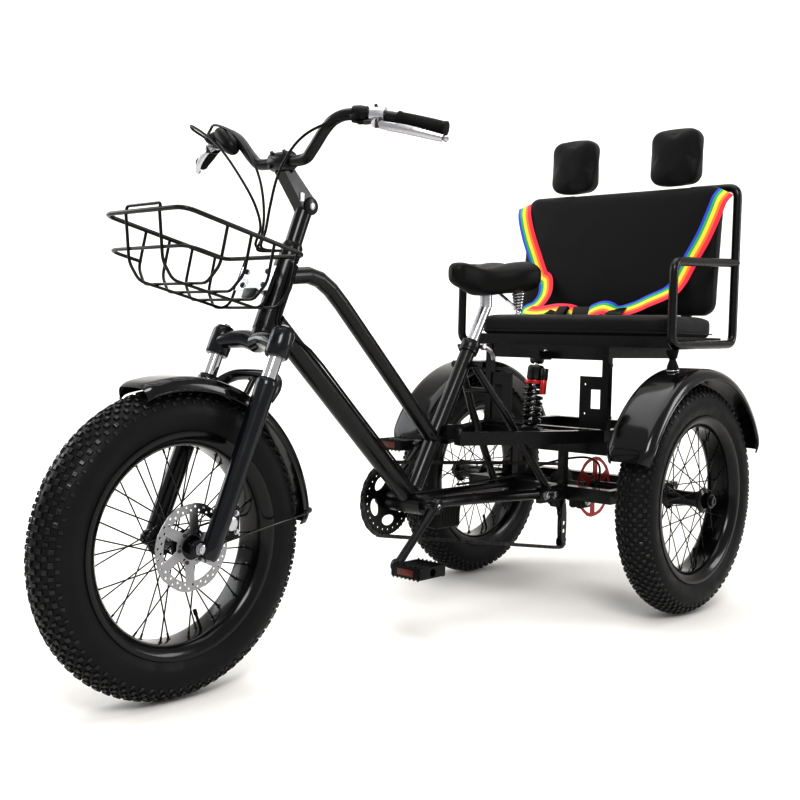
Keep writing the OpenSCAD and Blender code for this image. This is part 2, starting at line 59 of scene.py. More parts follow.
def new_mat(name, base, rough=0.5, metal=0.0, coat=0.0, coat_rough=0.1, sheen=0.0, spec=0.5,
            bump=None, bump2=None, tint=None, rvar=None):
    """A Principled material. bump is (scale, strength, distance in metres), tint is (scale, other colour, amount)
    and rvar, the roughness, is (scale, low, high)."""
    m = bpy.data.materials.new(name)
    m.use_nodes = True
    nt = m.node_tree
    b = nt.nodes["Principled BSDF"]
    b.inputs["Base Color"].default_value = (*base, 1)
    b.inputs["Roughness"].default_value = rough
    b.inputs["Metallic"].default_value = metal
    b.inputs["Coat Weight"].default_value = coat
    b.inputs["Coat Roughness"].default_value = coat_rough
    b.inputs["Sheen Weight"].default_value = sheen
    b.inputs["Specular IOR Level"].default_value = spec
    tc = nt.nodes.new("ShaderNodeTexCoord")

    def noise(scale, detail=4):
        n = nt.nodes.new("ShaderNodeTexNoise")
        n.inputs["Scale"].default_value = scale
        n.inputs["Detail"].default_value = detail
        link(nt, tc.outputs["Object"], n.inputs["Vector"])
        return n
    if tint:
        n, mix = noise(tint[0]), nt.nodes.new("ShaderNodeMix")
        mix.data_type = "RGBA"
        mr = nt.nodes.new("ShaderNodeMapRange")
        mr.inputs["From Min"].default_value, mr.inputs["From Max"].default_value = 0.4, 0.65
        mr.inputs["To Max"].default_value = tint[2]
        link(nt, n.outputs["Fac"], mr.inputs["Value"])
        link(nt, mr.outputs[0], mix.inputs["Factor"])
        mix.inputs[6].default_value, mix.inputs[7].default_value = (*base, 1), (*tint[1], 1)
        link(nt, mix.outputs[2], b.inputs["Base Color"])
    if rvar:
        n, mr = noise(rvar[0]), nt.nodes.new("ShaderNodeMapRange")
        mr.inputs["From Min"].default_value, mr.inputs["From Max"].default_value = 0.3, 0.7
        mr.inputs["To Min"].default_value, mr.inputs["To Max"].default_value = rvar[1], rvar[2]
        link(nt, n.outputs["Fac"], mr.inputs["Value"])
        link(nt, mr.outputs[0], b.inputs["Roughness"])
    last = None
    for i, spec_b in enumerate((bump, bump2)):
        if spec_b:
            kind = spec_b[3] if len(spec_b) > 3 else "noise"
            if kind == "voronoi":
                n = nt.nodes.new("ShaderNodeTexVoronoi")
                n.feature = "DISTANCE_TO_EDGE"
                n.inputs["Scale"].default_value = spec_b[0]
                link(nt, tc.outputs["Object"], n.inputs["Vector"])
                out = n.outputs["Distance"]
            elif kind == "weave":
                sep, comb = nt.nodes.new("ShaderNodeSeparateXYZ"), nt.nodes.new("ShaderNodeMath")
                link(nt, tc.outputs["Object"], sep.inputs[0])
                ws = []
                for ax in (0, 2):
                    s = nt.nodes.new("ShaderNodeMath")
                    s.operation = "MULTIPLY"
                    s.inputs[1].default_value = spec_b[0]
                    link(nt, sep.outputs[ax], s.inputs[0])
                    s2 = nt.nodes.new("ShaderNodeMath")
                    s2.operation = "SINE"
                    link(nt, s.outputs[0], s2.inputs[0])
                    ws.append(s2)
                comb.operation = "MULTIPLY"
                link(nt, ws[0].outputs[0], comb.inputs[0])
                link(nt, ws[1].outputs[0], comb.inputs[1])
                out = comb.outputs[0]
            else:
                out = noise(spec_b[0], 6).outputs["Fac"]
            bp = nt.nodes.new("ShaderNodeBump")
            bp.inputs["Strength"].default_value = spec_b[1]
            bp.inputs["Distance"].default_value = spec_b[2]
            link(nt, out, bp.inputs["Height"])
            if last:
                link(nt, last.outputs[0], bp.inputs["Normal"])
            last = bp
    if last:
        link(nt, last.outputs[0], b.inputs["Normal"])
    return m


PAINT = new_mat("satin_black_paint", (0.010, 0.010, 0.011), 0.26, coat=0.35, coat_rough=0.12,
                bump=(900, 0.10, 0.0004),
                rvar=(14, 0.20, 0.34))
GLOSS = new_mat("gloss_black", (0.008, 0.008, 0.009), 0.16, coat=0.8, coat_rough=0.05, bump=(30, 0.05, 0.002),
                rvar=(20, 0.12, 0.22))
RIMM = new_mat("rim_black", (0.007, 0.007, 0.008), 0.2, coat=0.5, coat_rough=0.06, bump=(60, 0.05, 0.001),
               rvar=(25, 0.14, 0.26))
TYRE = new_mat("tyre_rubber", (0.012, 0.012, 0.0125), 0.42, spec=0.5, bump=(700, 0.25, 0.0006),
               bump2=(60, 0.12, 0.001),
               tint=(9, (0.008, 0.008, 0.008), 0.5), rvar=(40, 0.32, 0.52))
RUBBER = new_mat("soft_rubber", (0.012, 0.012, 0.012), 0.55, bump=(500, 0.2, 0.0005), rvar=(30, 0.45, 0.65))
VINYL = new_mat("black_vinyl", (0.012, 0.012, 0.013), 0.5, sheen=0.15, bump=(420, 0.35, 0.0010, "voronoi"),
                bump2=(8, 0.15, 0.006), rvar=(12, 0.42, 0.58))
SADDLE = new_mat("saddle_vinyl", (0.011, 0.011, 0.011), 0.44, bump=(600, 0.3, 0.0008, "voronoi"),
                 bump2=(14, 0.1, 0.004),
                 rvar=(16, 0.36, 0.5))
PLAST = new_mat("black_plastic", (0.012, 0.012, 0.012), 0.42, bump=(800, 0.15, 0.0004), rvar=(30, 0.34, 0.5))
CABLE = new_mat("cable_sheath", (0.010, 0.010, 0.010), 0.34, bump=(600, 0.1, 0.0003), rvar=(60, 0.28, 0.4))
CHROME = new_mat("chrome", (0.62, 0.62, 0.64), 0.10, metal=1, bump=(40, 0.03, 0.001), rvar=(30, 0.06, 0.14))
ALLOY = new_mat("bright_alloy", (0.48, 0.48, 0.50), 0.28, metal=1, bump=(500, 0.08, 0.0003),
                rvar=(60, 0.2, 0.36))
STEEL = new_mat("dark_steel", (0.09, 0.09, 0.093), 0.36, metal=1, bump=(300, 0.15, 0.0004),
                rvar=(50, 0.26, 0.46),
                tint=(40, (0.05, 0.045, 0.04), 0.7))
RED = new_mat("red_anodised", (0.40, 0.012, 0.012), 0.34, metal=0.5, coat=0.3, bump=(300, 0.05, 0.0003),
              rvar=(40, 0.24, 0.38))
REFL = new_mat("reflector", (0.10, 0.014, 0.004), 0.2, coat=0.2, bump=(500, 0.5, 0.0010, "voronoi"),
               rvar=(30, 0.14, 0.24))
FLOOR = new_mat("pale_floor", (0.80, 0.785, 0.765), 0.62, bump=(3, 0.10, 0.02), bump2=(120, 0.04, 0.001),
                tint=(1.2, (0.86, 0.85, 0.835), 0.5))


def stripe_mat():
    m = new_mat("rainbow_webbing", (0.9, 0.4, 0.1), 0.75, sheen=0.3, bump=(1400, 0.5, 0.0006, "weave"))
    nt, b = m.node_tree, m.node_tree.nodes["Principled BSDF"]
    uv, sep, ramp = (nt.nodes.new("ShaderNode" + k) for k in ("UVMap", "SeparateXYZ", "ValToRGB"))
    cols = [((0.02, 0.06, 0.50), 0), ((0.01, 0.36, 0.10), 0.17), ((0.85, 0.60, 0.05), 0.35),
            ((0.88, 0.20, 0.02), 0.58),
            ((0.70, 0.02, 0.06), 0.74)]
    cr = ramp.color_ramp
    cr.interpolation = "CONSTANT"
    cr.elements.remove(cr.elements[1])
    cr.elements[0].position, cr.elements[0].color = 0, (*cols[0][0], 1)
    for c, at in cols[1:]:
        cr.elements.new(at).color = (*c, 1)
    link(nt, uv.outputs[0], sep.inputs[0])
    link(nt, sep.outputs[0], ramp.inputs[0])
    link(nt, ramp.outputs[0], b.inputs["Base Color"])
    return m


WEB = stripe_mat()
# The blacks are deep and reflect little: each is (material, share of its colour, specular level).
for m_, k_, sp_ in ((PAINT, 0.3, 0.30), (GLOSS, 0.35, 0.30), (RIMM, 0.35, 0.26), (TYRE, 0.35, 0.12),
                    (RUBBER, 0.35, 0.15), (VINYL, 0.3, 0.14),
                    (SADDLE, 0.3, 0.18), (PLAST, 0.35, 0.2), (CABLE, 0.35, 0.2)):
    nd = m_.node_tree.nodes["Principled BSDF"]
    c_ = nd.inputs["Base Color"].default_value
    nd.inputs["Base Color"].default_value = (c_[0] * k_, c_[1] * k_, c_[2] * k_, 1)
    nd.inputs["Specular IOR Level"].default_value = sp_
    nd.inputs["Coat Weight"].default_value *= 0.4


# ---------------------------------------------------------------- mesh building
def frames(pts, closed=False):
    """Rotation-minimising frames along points: a list of (tangent, u, w)."""
    n, out = len(pts), []
    u = None
    for i in range(n):
        a, b = (pts[i - 1], pts[(i + 1) % n]) if closed else (pts[max(i - 1, 0)], pts[min(i + 1, n - 1)])
        t = (b - a).normalized()
        if u is None:
            ref = V((0, 0, 1)) if abs(t.z) < 0.9 else V((1, 0, 0))
            u = (ref - t * ref.dot(t)).normalized()
        else:
            u = u - t * u.dot(t)
            u.normalize()
        out.append((t, u.copy(), t.cross(u)))
    return out


def smooth(pts, n=6, closed=False):
    """Catmull-Rom through the points."""
    out, m = [], len(pts)
    for i in range(m if closed else m - 1):
        g = (lambda k: pts[k % m]) if closed else (lambda k: pts[min(max(k, 0), m - 1)])
        a, b, c, d = g(i - 1), g(i), g(i + 1), g(i + 2)
        for k in range(n):
            t = k / n
            out.append(0.5 * (2 * b + (c - a) * t + (2 * a - 5 * b + 4 * c - d) * t ** 2
                              + (3 * b - 3 * c + d - a) * t ** 3))
    if not closed:
        out.append(pts[-1].copy())
    return out


def fillet(pts, r, n=6):
    """Rounds the corners of a path with arcs of about radius r (metres)."""
    out = [pts[0]]
    for i in range(1, len(pts) - 1):
        a, b, c = pts[i - 1], pts[i], pts[i + 1]
        d = min(r, (a - b).length * 0.45, (c - b).length * 0.45)
        p, q = b + (a - b).normalized() * d, b + (c - b).normalized() * d
        for k in range(n + 1):
            t = k / n
            out.append(p * (1 - t) ** 2 + b * 2 * t * (1 - t) + q * t * t)
    out.append(pts[-1])
    return out


class Mesh:
    """Collects shapes into one object; each shape has a material."""

    def __init__(self, name):
        self.name, self.v, self.f, self.m, self.mats, self.uv = name, [], [], [], [], {}

    def add(self, verts, faces, mat):
        if mat not in self.mats:
            self.mats.append(mat)
        k, mi = len(self.v), self.mats.index(mat)
        self.v += [V(p) for p in verts]
        self.f += [[k + i for i in f] for f in faces]
        self.m += [mi] * len(faces)
        return self

    def sweep(self, pts, r, mat, seg=12, closed=False, caps=True, squash=1.0):
        fr, n = frames(pts, closed), len(pts)
        rr = r if isinstance(r, (list, tuple)) else [r] * n
        vs = []
        for i, (t, u, w) in enumerate(fr):
            for k in range(seg):
                a = 2 * math.pi * k / seg
                vs.append(pts[i] + u * (math.cos(a) * rr[i] * squash) + w * (math.sin(a) * rr[i]))
        fs = []
        for i in range(n if closed else n - 1):
            j = (i + 1) % n
            for k in range(seg):
                l = (k + 1) % seg
                fs.append((i * seg + k, i * seg + l, j * seg + l, j * seg + k))
        if caps and not closed:
            fs += [tuple(range(seg - 1, -1, -1)), tuple((n - 1) * seg + k for k in range(seg))]
        return self.add(vs, fs, mat)

    def cyl(self, a, b, r, mat, seg=20, r2=None, bevel=0.0):
        d = (b - a).normalized()
        r2 = r if r2 is None else r2
        if bevel:
            pts = [a, a + d * bevel * 0.3, a + d * bevel, b - d * bevel, b - d * bevel * 0.3, b]
            rs = [r - bevel, r - bevel * 0.3, r, r2, r2 - bevel * 0.3, r2 - bevel]
        else:
            pts, rs = [a, b], [r, r2]
        return self.sweep(pts, rs, mat, seg)

    def lathe(self, c, prof, mat, seg=64, axis=V((1, 0, 0)), closed=False):
        """Turns (radius, along) points round the axis through c."""
        ref = V((0, 0, 1)) if abs(axis.z) < 0.9 else V((0, 1, 0))
        u = (ref - axis * ref.dot(axis)).normalized()
        w, n = axis.cross(u), len(prof)
        vs = [c + axis * h + (u * math.cos(2 * math.pi * k / seg) + w * math.sin(2 * math.pi * k / seg)) * r
              for k in range(seg) for r, h in prof]
        fs = []
        for k in range(seg):
            l = (k + 1) % seg
            for i in range(n if closed else n - 1):
                j = (i + 1) % n
                fs.append((k * n + i, k * n + j, l * n + j, l * n + i))
        return self.add(vs, fs, mat)

    def box(self, lo, hi, mat, bevel=0.002, mx=None, seg=2):
        bm = bmesh.new()
        bmesh.ops.create_cube(bm, size=1)
        s, c = hi - lo, (hi + lo) / 2
        for v in bm.verts:
            v.co = V((v.co.x * s.x, v.co.y * s.y, v.co.z * s.z)) + c
        if bevel:
            bmesh.ops.bevel(bm, geom=bm.edges[:], offset=min(bevel, min(s) * 0.45), segments=seg,
                            profile=0.6, affect="EDGES")
        bm.verts.index_update()
        vs = [(mx @ v.co if mx else v.co.copy()) for v in bm.verts]
        fs = [[v.index for v in f.verts] for f in bm.faces]
        bm.free()
        return self.add(vs, fs, mat)

    def plate(self, loops, mx, t, mat, bevel=0.0004):
        """A flat plate with holes: 2-D outlines (outer first), placed by the matrix mx, thickness t."""
        cu = bpy.data.curves.new("tmp", "CURVE")
        cu.dimensions, cu.fill_mode = "2D", "BOTH"
        cu.extrude, cu.bevel_depth, cu.bevel_resolution = max(t / 2 - bevel, 1e-5), bevel, 0
        for lp in loops:
            sp = cu.splines.new("POLY")
            sp.points.add(len(lp) - 1)
            for q, (x, y) in zip(sp.points, lp):
                q.co = (x, y, 0, 1)
            sp.use_cyclic_u = True
        ob = bpy.data.objects.new("tmp", cu)
        bpy.context.collection.objects.link(ob)
        me = bpy.data.meshes.new_from_object(ob.evaluated_get(bpy.context.evaluated_depsgraph_get()))
        vs, fs = [mx @ v.co for v in me.vertices], [list(p.vertices) for p in me.polygons]
        bpy.data.objects.remove(ob)
        bpy.data.curves.remove(cu)
        bpy.data.meshes.remove(me)
        return self.add(vs, fs, mat)

    def ball(self, c, r, mat, seg=12, scale=(1, 1, 1)):
        vs, fs, h = [], [], seg // 2
        for i in range(1, h):
            a = math.pi * i / h
            vs += [c + V((r * scale[0] * math.sin(a) * math.cos(2 * math.pi * k / seg),
                          r * scale[1] * math.sin(a) * math.sin(2 * math.pi * k / seg),
                          r * scale[2] * math.cos(a)))
                   for k in range(seg)]
        vs += [c + V((0, 0, r * scale[2])), c - V((0, 0, r * scale[2]))]
        t, b = len(vs) - 2, len(vs) - 1
        for k in range(seg):
            l = (k + 1) % seg
            fs += [(t, k, l), (b, (h - 2) * seg + l, (h - 2) * seg + k)]
            fs += [(i * seg + k, (i + 1) * seg + k, (i + 1) * seg + l, i * seg + l) for i in range(h - 2)]
        return self.add(vs, fs, mat)

    def bolt(self, p, d, r, mat, h=0.004):
        """A hexagon-socket cap or hex bolt head at p, standing out along d."""
        d = d.normalized()
        self.cyl(p, p + d * 0.0012, r * 1.35, mat, 16)
        self.cyl(p + d * 0.0012, p + d * (0.0012 + h), r, mat, 6, bevel=0.0006)
        return self

    def mirrored(self):
        """Adds a copy of everything so far on the other side of x = 0."""
        k, nf = len(self.v), len(self.f)
        self.v += [V((-p.x, p.y, p.z)) for p in self.v[:k]]
        self.f += [[k + i for i in reversed(f)] for f in self.f[:nf]]
        self.m += self.m[:nf]
        return self

    def obj(self, body, *replaces, sharp=32):
        me = bpy.data.meshes.new(self.name)
        me.from_pydata(self.v, [], self.f)
        for mt in self.mats:
            me.materials.append(mt)
        me.polygons.foreach_set("material_index", self.m)
        bm = bmesh.new()
        bm.from_mesh(me)
        bmesh.ops.recalc_face_normals(bm, faces=bm.faces[:])
        bm.to_mesh(me)
        bm.free()
        me.shade_smooth()
        me.set_sharp_from_angle(angle=math.radians(sharp))
        o = bpy.data.objects.new(self.name, me)
        bpy.context.collection.objects.link(o)
        if body:
            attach(o, body)
        if replaces:
            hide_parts(*replaces)
        return o


def lerp(a, b, t):
    return a + (b - a) * t


def circle(r, n=24, cx=0.0, cy=0.0):
    return [(cx + r * math.cos(2 * math.pi * k / n),
             cy + r * math.sin(2 * math.pi * k / n)) for k in range(n)]


# The steering space: the same one as the fork's, local z up the steering axis.
TILT = math.radians(22.8)
O = V((0, 43 * math.cos(TILT), 285 - 43 * math.sin(TILT)))
CT, ST = math.cos(TILT), math.sin(TILT)


def S(x, y, z):
    return P(x, O.y + y * CT + z * ST, O.z - y * ST + z * CT)


SM = M.Translation(P(*O)) @ M.Rotation(-TILT, 4, "X")

# ---------------------------------------------------------------- camera, light, floor
cam = bpy.data.objects.new("camera", bpy.data.cameras.new("camera"))
bpy.context.collection.objects.link(cam)
yaw, pitch, roll = 0.736, -0.057, 0.023
fwd = V((-math.sin(yaw) * math.cos(pitch), math.cos(yaw) * math.cos(pitch), math.sin(pitch)))
rgt = V((math.cos(yaw), math.sin(yaw), 0))
up = rgt.cross(fwd)
r2, u2 = math.cos(roll) * rgt + math.sin(roll) * up, -math.sin(roll) * rgt + math.cos(roll) * up
cam.matrix_world = M.Translation(P(1647.8, -1213.0, 668.7)) @ M((r2, u2, -fwd)).transposed().to_4x4()
cam.data.lens, cam.data.sensor_width, cam.data.clip_end = 1114.309 / 800 * 36, 36, 60
bpy.context.scene.camera = cam


def area(name, loc, target, size, power, color=(1, 1, 1)):
    l = bpy.data.lights.new(name, "AREA")
    l.shape, l.size, l.size_y, l.energy, l.color = "RECTANGLE", size[0], size[1], power, color
    o = bpy.data.objects.new(name, l)
    bpy.context.collection.objects.link(o)
    o.location = loc
    o.rotation_euler = (V(target) - V(loc)).to_track_quat("-Z", "Y").to_euler()
    return o


area("key", (2.6, -2.6, 3.4), (0, 0, 0.4), (1.6, 1.6), 130, (1.0, 0.99, 0.97))
area("top", (-0.3, 0.2, 4.2), (0, 0, 0.3), (4.0, 4.0), 130)
area("left_fill", (-3.8, -1.6, 2.2), (0, 0, 0.5), (2.4, 2.4), 70, (0.95, 0.98, 1.0))
area("rear_strip", (3.4, 3.0, 1.8), (0.2, 0.5, 0.5), (1.0, 2.2), 60)
w = bpy.context.scene.world or bpy.data.worlds.new("world")
bpy.context.scene.world = w
w.use_nodes = True
w.node_tree.nodes["Background"].inputs[0].default_value = (0.97, 0.965, 0.955, 1)
w.node_tree.nodes["Background"].inputs[1].default_value = 0.80
bpy.context.scene.view_settings.view_transform = "Standard"
bpy.context.scene.view_settings.gamma = 0.76

fl = Mesh("floor")
ys = [-9, 2.2] + [2.2 + 1.2 * math.sin(a * math.pi / 20) for a in range(1, 11)] + [3.4]
zs = [0, 0] + [1.2 - 1.2 * math.cos(a * math.pi / 20) for a in range(1, 11)] + [7]
dirn, side = V((-math.sin(yaw), math.cos(yaw), 0)), V((math.cos(yaw), math.sin(yaw), 0))
vs = []
for y, z in zip(ys, zs):
    for x in (-9, 9):
        vs.append(dirn * y + side * x + V((0, 0, z)))
fl.add(vs, [(2 * i, 2 * i + 1, 2 * i + 3, 2 * i + 2) for i in range(len(ys) - 1)], FLOOR)
floor = fl.obj(None, sharp=80)
if floor.data.polygons[0].normal.z < 0:
    floor.data.flip_normals()
# The backdrop is seen from its front only, so that a camera behind it still sees the vehicle.
fn = FLOOR.node_tree
geo, tr_, mx_ = (fn.nodes.new("ShaderNode" + k) for k in ("NewGeometry", "BsdfTransparent", "MixShader"))
link(fn, geo.outputs["Backfacing"], mx_.inputs[0])
link(fn, fn.nodes["Principled BSDF"].outputs[0], mx_.inputs[1])
link(fn, tr_.outputs[0], mx_.inputs[2])
link(fn, mx_.outputs[0], next(n for n in fn.nodes if n.type == "OUTPUT_MATERIAL").inputs["Surface"])

# ---------------------------------------------------------------- wheels
def tyre(name, c, body, node):
    m = Mesh(name)
    ctr = P(*c)
    rows = [(0, 0.0, 7.5, 9), (1, 12, 7.5, 8.5), (0, 24, 8, 9), (1, 36, 8, 8.5), (0, 48, 8.5, 9),
            (1, 60, 8, 7.5)]
    prof = [(203, 30.5), (203, 38), (206, 40.6), (210, 42)]
    for a in range(-52, 233, 6):
        ar = math.radians(a)
        h = 46.2 + (0.7 if a in (-28, -16, 196, 208) else 0) - (0.5 if a in (-34, 214) else 0)
        if 235 + h * math.sin(ar) > 212:
            prof.append((235 + h * math.sin(ar), h * math.cos(ar) * 1.06))
    prof += [(210, -42), (206, -40.6), (203, -38), (203, -30.5)]
    prof = [(r / 1000, x / 1000) for r, x in prof]
    m.lathe(ctr, prof, TYRE, 120)
    n = 76
    vs, fs = [], []
    for stag, off, wdt, lng in rows:
        for s in ((1, -1) if off else (1,)):
            for i in range(n):
                a = 2 * math.pi * (i + 0.5 * ((stag + (1 if s < 0 else 0)) % 2)) / n
                sec = math.radians(90 - s * off)
                base = 46.3 - (0.4 if off > 50 else 0)
                top = base + (3.9 if off < 60 else 2.6)
                wob = 1 + 0.12 * (((i * 7 + int(off)) % 3) - 1)
                for h, k in ((base - 1.2, 1.12), (top - 0.9, 1.0), (top, 0.74)):
                    for du, dw in ((-1, -1), (1, -1), (1, 1), (-1, 1)):
                        sa = sec + du * wdt * 0.5 * k / 50
                        r = 235 + h * math.sin(sa)
                        aa = a + dw * lng * 0.5 * wob * k / 283
                        vs.append(ctr + V((h * math.cos(sa) * (1.05 if off > 30 else 1.0),
                                           r * math.cos(aa), r * math.sin(aa))) / 1000)
                b = len(vs) - 12
                for l in (0, 4):
                    fs += [(b + l + q, b + l + (q + 1) % 4, b + l + 4 + (q + 1) % 4,
                            b + l + 4 + q) for q in range(4)]
                fs.append((b + 8, b + 9, b + 10, b + 11))
    m.add(vs, fs, KNOB)
    return m.obj(body, node, sharp=40)


KNOB = new_mat("tyre_knobs", (0.006, 0.006, 0.0065), 0.26, spec=0.42, bump=(500, 0.15, 0.0005),
               rvar=(90, 0.2, 0.42))
for wheel, centre in WHEELS:
    tyre(f"{wheel}_tyre_tread", centre, f"{wheel}_wheel", f"{wheel}_tyre")


def hub(name, c, body, node, f, prof, fr):
    """Hub shell turned from prof, two flanges at x = -f and f, and 36 crossed spokes with nipples."""
    m = Mesh(name)
    ctr = P(*c)
    m.lathe(ctr, [(r / 1000, x / 1000) for r, x in prof], RIMM, 40)
    for i in range(36):
        s = 1 if i % 2 == 0 else -1
        ph = 2 * math.pi * i / 36
        lean = math.radians(62) * (1 if (i // 2) % 2 == 0 else -1)
        out = (1.6 if (i // 2) % 2 == 0 else -1.6) * s

        def at(r, a, x):
            return ctr + V((x, r * math.cos(a), r * math.sin(a))) / 1000
        a, b = at(fr - 4, ph + lean, s * f + out), at(179.5, ph, s * 9)
        m.sweep([a, b], 0.0013, SPOKE, 6, caps=False)
        m.sweep([lerp(a, b, 0.935), b], 0.0020, RIMM, 6)
        m.ball(at(fr - 4, ph + lean, s * f + out * 1.3), 0.0022, SPOKE, 6)
    return m.obj(body, node)


SPOKE = new_mat("black_spoke", (0.012, 0.012, 0.013), 0.28, metal=0.6, rvar=(80, 0.2, 0.36),
                bump=(200, 0.05, 0.0002))
fprof = [(6.2, -67), (11, -67), (12, -66), (12, -57), (15, -55), (16, -50), (16, -41), (28, -39),
         (29.3, -38), (29.3, -34),
         (28, -33), (18, -30), (15, -22), (14, 0), (15, 22), (18, 30), (28, 33), (29.3, 34), (29.3, 38),
         (28, 39), (18, 42),
         (18, 48), (27, 50), (28, 51), (28, 56), (12, 58.5), (12, 66), (11, 67), (6.2, 67)]
hub("front_hub_and_spokes", WHEELS[0][1], "front_wheel", "front_hub", 36, fprof, 29)
rprof = [(9.9, -170), (9.9, -69), (17, -69), (19, -67), (19, -50), (30, -48.5), (31, -47.5), (31, -44.5),
         (30, -43.5),
         (21, -38), (19, -25), (18, 0), (19, 25), (21, 38), (30, 43.5), (31, 44.5), (31, 47.5),
         (30, 48.5), (20, 52),
         (19, 60), (19, 67), (17.5, 69), (13, 69.5), (12.6, 73.5), (11, 75), (6, 75), (5.5, 73.5),
         (0.01, 73.5)]
hub("rear_left_hub_and_spokes", WHEELS[1][1], "rear_left_wheel", "rear_left_hub", 46, rprof, 31)
hub("rear_right_hub_and_spokes", WHEELS[2][1], "rear_right_wheel", "rear_right_hub", 46,
    [(r, -x) for r, x in reversed(rprof)], 31)


def rim(name, c, body, node):
    """Deep double-wall rim: rolled lips, a dished well seen from inside, and a valve."""
    m = Mesh(name)
    ctr = P(*c)
    out = [(206.4, 41.4), (207, 42.4), (206.4, 43.2), (204, 43.3), (199, 43.2), (196, 42), (188, 38),
           (181, 30), (179, 22),
           (178.4, 0), (179, -22), (181, -30), (188, -38), (196, -42), (199, -43.2), (204, -43.3),
           (206.4, -43.2),
           (207, -42.4), (206.4, -41.4), (203, -41.2), (203, -29), (198, -29), (191, -34), (183, -21),
           (182.4, 0),
           (183, 21), (191, 34), (198, 29), (203, 29), (203, 41.2)]
    m.lathe(ctr, [(r / 1000, x / 1000) for r, x in out], RIMM, 120, closed=True)
    for i in range(36):
        a = 2 * math.pi * i / 36
        d = V((0, math.cos(a), math.sin(a)))
        p = ctr + d * 0.1786 + V((0.009 * (1 if i % 2 == 0 else -1), 0, 0))
        m.cyl(p, p - d * 0.0012, 0.0042, STEEL, 10, bevel=0.0003)
    d = V((0, math.cos(-1.2), math.sin(-1.2)))
    m.cyl(ctr + d * 0.1785, ctr + d * 0.146, 0.0028, RUBBER, 10)
    m.cyl(ctr + d * 0.152, ctr + d * 0.141, 0.0038, RUBBER, 10, bevel=0.0008)
    return m.obj(body, node)


for wheel, centre in WHEELS:
    rim(f"{wheel}_rim_deep", centre, f"{wheel}_wheel", f"{wheel}_rim")


DISC = new_mat("brake_disc", (0.30, 0.30, 0.31), 0.34, metal=1, bump=(500, 0.08, 0.0003),
               rvar=(60, 0.26, 0.42))


def rotor(name, c, body, node, mat):
    """A slotted and drilled brake disc with curved arms."""
    m = Mesh(name)
    n = 96
    outer = [((79.6 if (k // 6) % 2 else 78.4) / 1000 * math.cos(2 * math.pi * k / n),
              (79.6 if (k // 6) % 2 else 78.4) / 1000 * math.sin(2 * math.pi * k / n)) for k in range(n)]
    loops = [outer, circle(0.0222, 40)]
    ro = 0.062 if mat is DISC else 0.0705
    for i in range(6):
        a0 = 2 * math.pi * i / 6
        pts = []
        for k in range(9):
            a = a0 + 0.10 + k * 0.095
            pts.append((ro * math.cos(a), ro * math.sin(a)))
        for k in range(7):
            a = a0 + 0.60 - k * 0.075
            pts.append((0.0335 * math.cos(a), 0.0335 * math.sin(a)))
        loops.append(pts)
        for k in range(4):
            for r, d in ((0.067, 0), (0.0735, 0.13)) if mat is DISC else ():
                a = a0 + 0.05 + k * 0.262 + d
                loops.append(circle(0.0026, 10, r * math.cos(a), r * math.sin(a)))
        a = a0 + 0.35
        loops.append(circle(0.0026, 10, 0.0265 * math.cos(a), 0.0265 * math.sin(a)))
    mx = M.Translation(P(*c)) @ M.Rotation(math.pi / 2, 4, "Y")
    m.plate(loops, mx, 0.0018, mat, 0.0002)
    for i in range(6):
        a = 2 * math.pi * i / 6 + 0.35
        q = mx @ V((0.0285 * math.cos(a + 0.3), 0.0285 * math.sin(a + 0.3), 0.0008))
        m.cyl(q, q + V((0.0022, 0, 0)), 0.0035, STEEL, 10, bevel=0.0004)
    return m.obj(body, node)


rotor("front_brake_disc", (57.2, 0, 285), "front_wheel", "front_rotor", DISC)
rotor("rear_brake_disc", (68, 1300, 285), "drive_axle", "rear_rotor", RED)

# ---------------------------------------------------------------- soft parts of the bench
def soften(o, cap, voxel=0.006, pressure=4.0, frames_n=20):
    """Swells a closed pad by a short cloth run and keeps each point within cap of where it was."""
    me = o.data
    md = o.modifiers.new("remesh", "REMESH")
    md.mode, md.voxel_size = "VOXEL", voxel
    bpy.context.view_layer.update()
    me2 = bpy.data.meshes.new_from_object(o.evaluated_get(bpy.context.evaluated_depsgraph_get()))
    o.modifiers.clear()
    o.data = me2
    rest = [v.co.copy() for v in me2.vertices]
    cl = o.modifiers.new("cloth", "CLOTH")
    cl.settings.use_pressure, cl.settings.uniform_pressure_force = True, pressure
    cl.settings.effector_weights.gravity = 0
    cl.settings.quality, cl.settings.mass = 4, 0.4
    cl.point_cache.frame_start, cl.point_cache.frame_end = 1, frames_n
    sc = bpy.context.scene
    for f in range(1, frames_n + 1):
        sc.frame_set(f)
    ev = o.evaluated_get(bpy.context.evaluated_depsgraph_get())
    out = [v.co.copy() for v in ev.data.vertices]
    o.modifiers.clear()
    sc.frame_set(1)
    for v, a, b in zip(me2.vertices, rest, out):
        d = b - a
        v.co = a + (d * (cap / d.length) if d.length > cap else d)
    me = me2
    bm = bmesh.new()
    bm.from_mesh(me)
    for _ in range(2):
        bmesh.ops.smooth_vert(bm, verts=bm.verts, factor=0.5, use_axis_x=True, use_axis_y=True,
                              use_axis_z=True)
    bm.to_mesh(me)
    bm.free()
    me.shade_smooth()


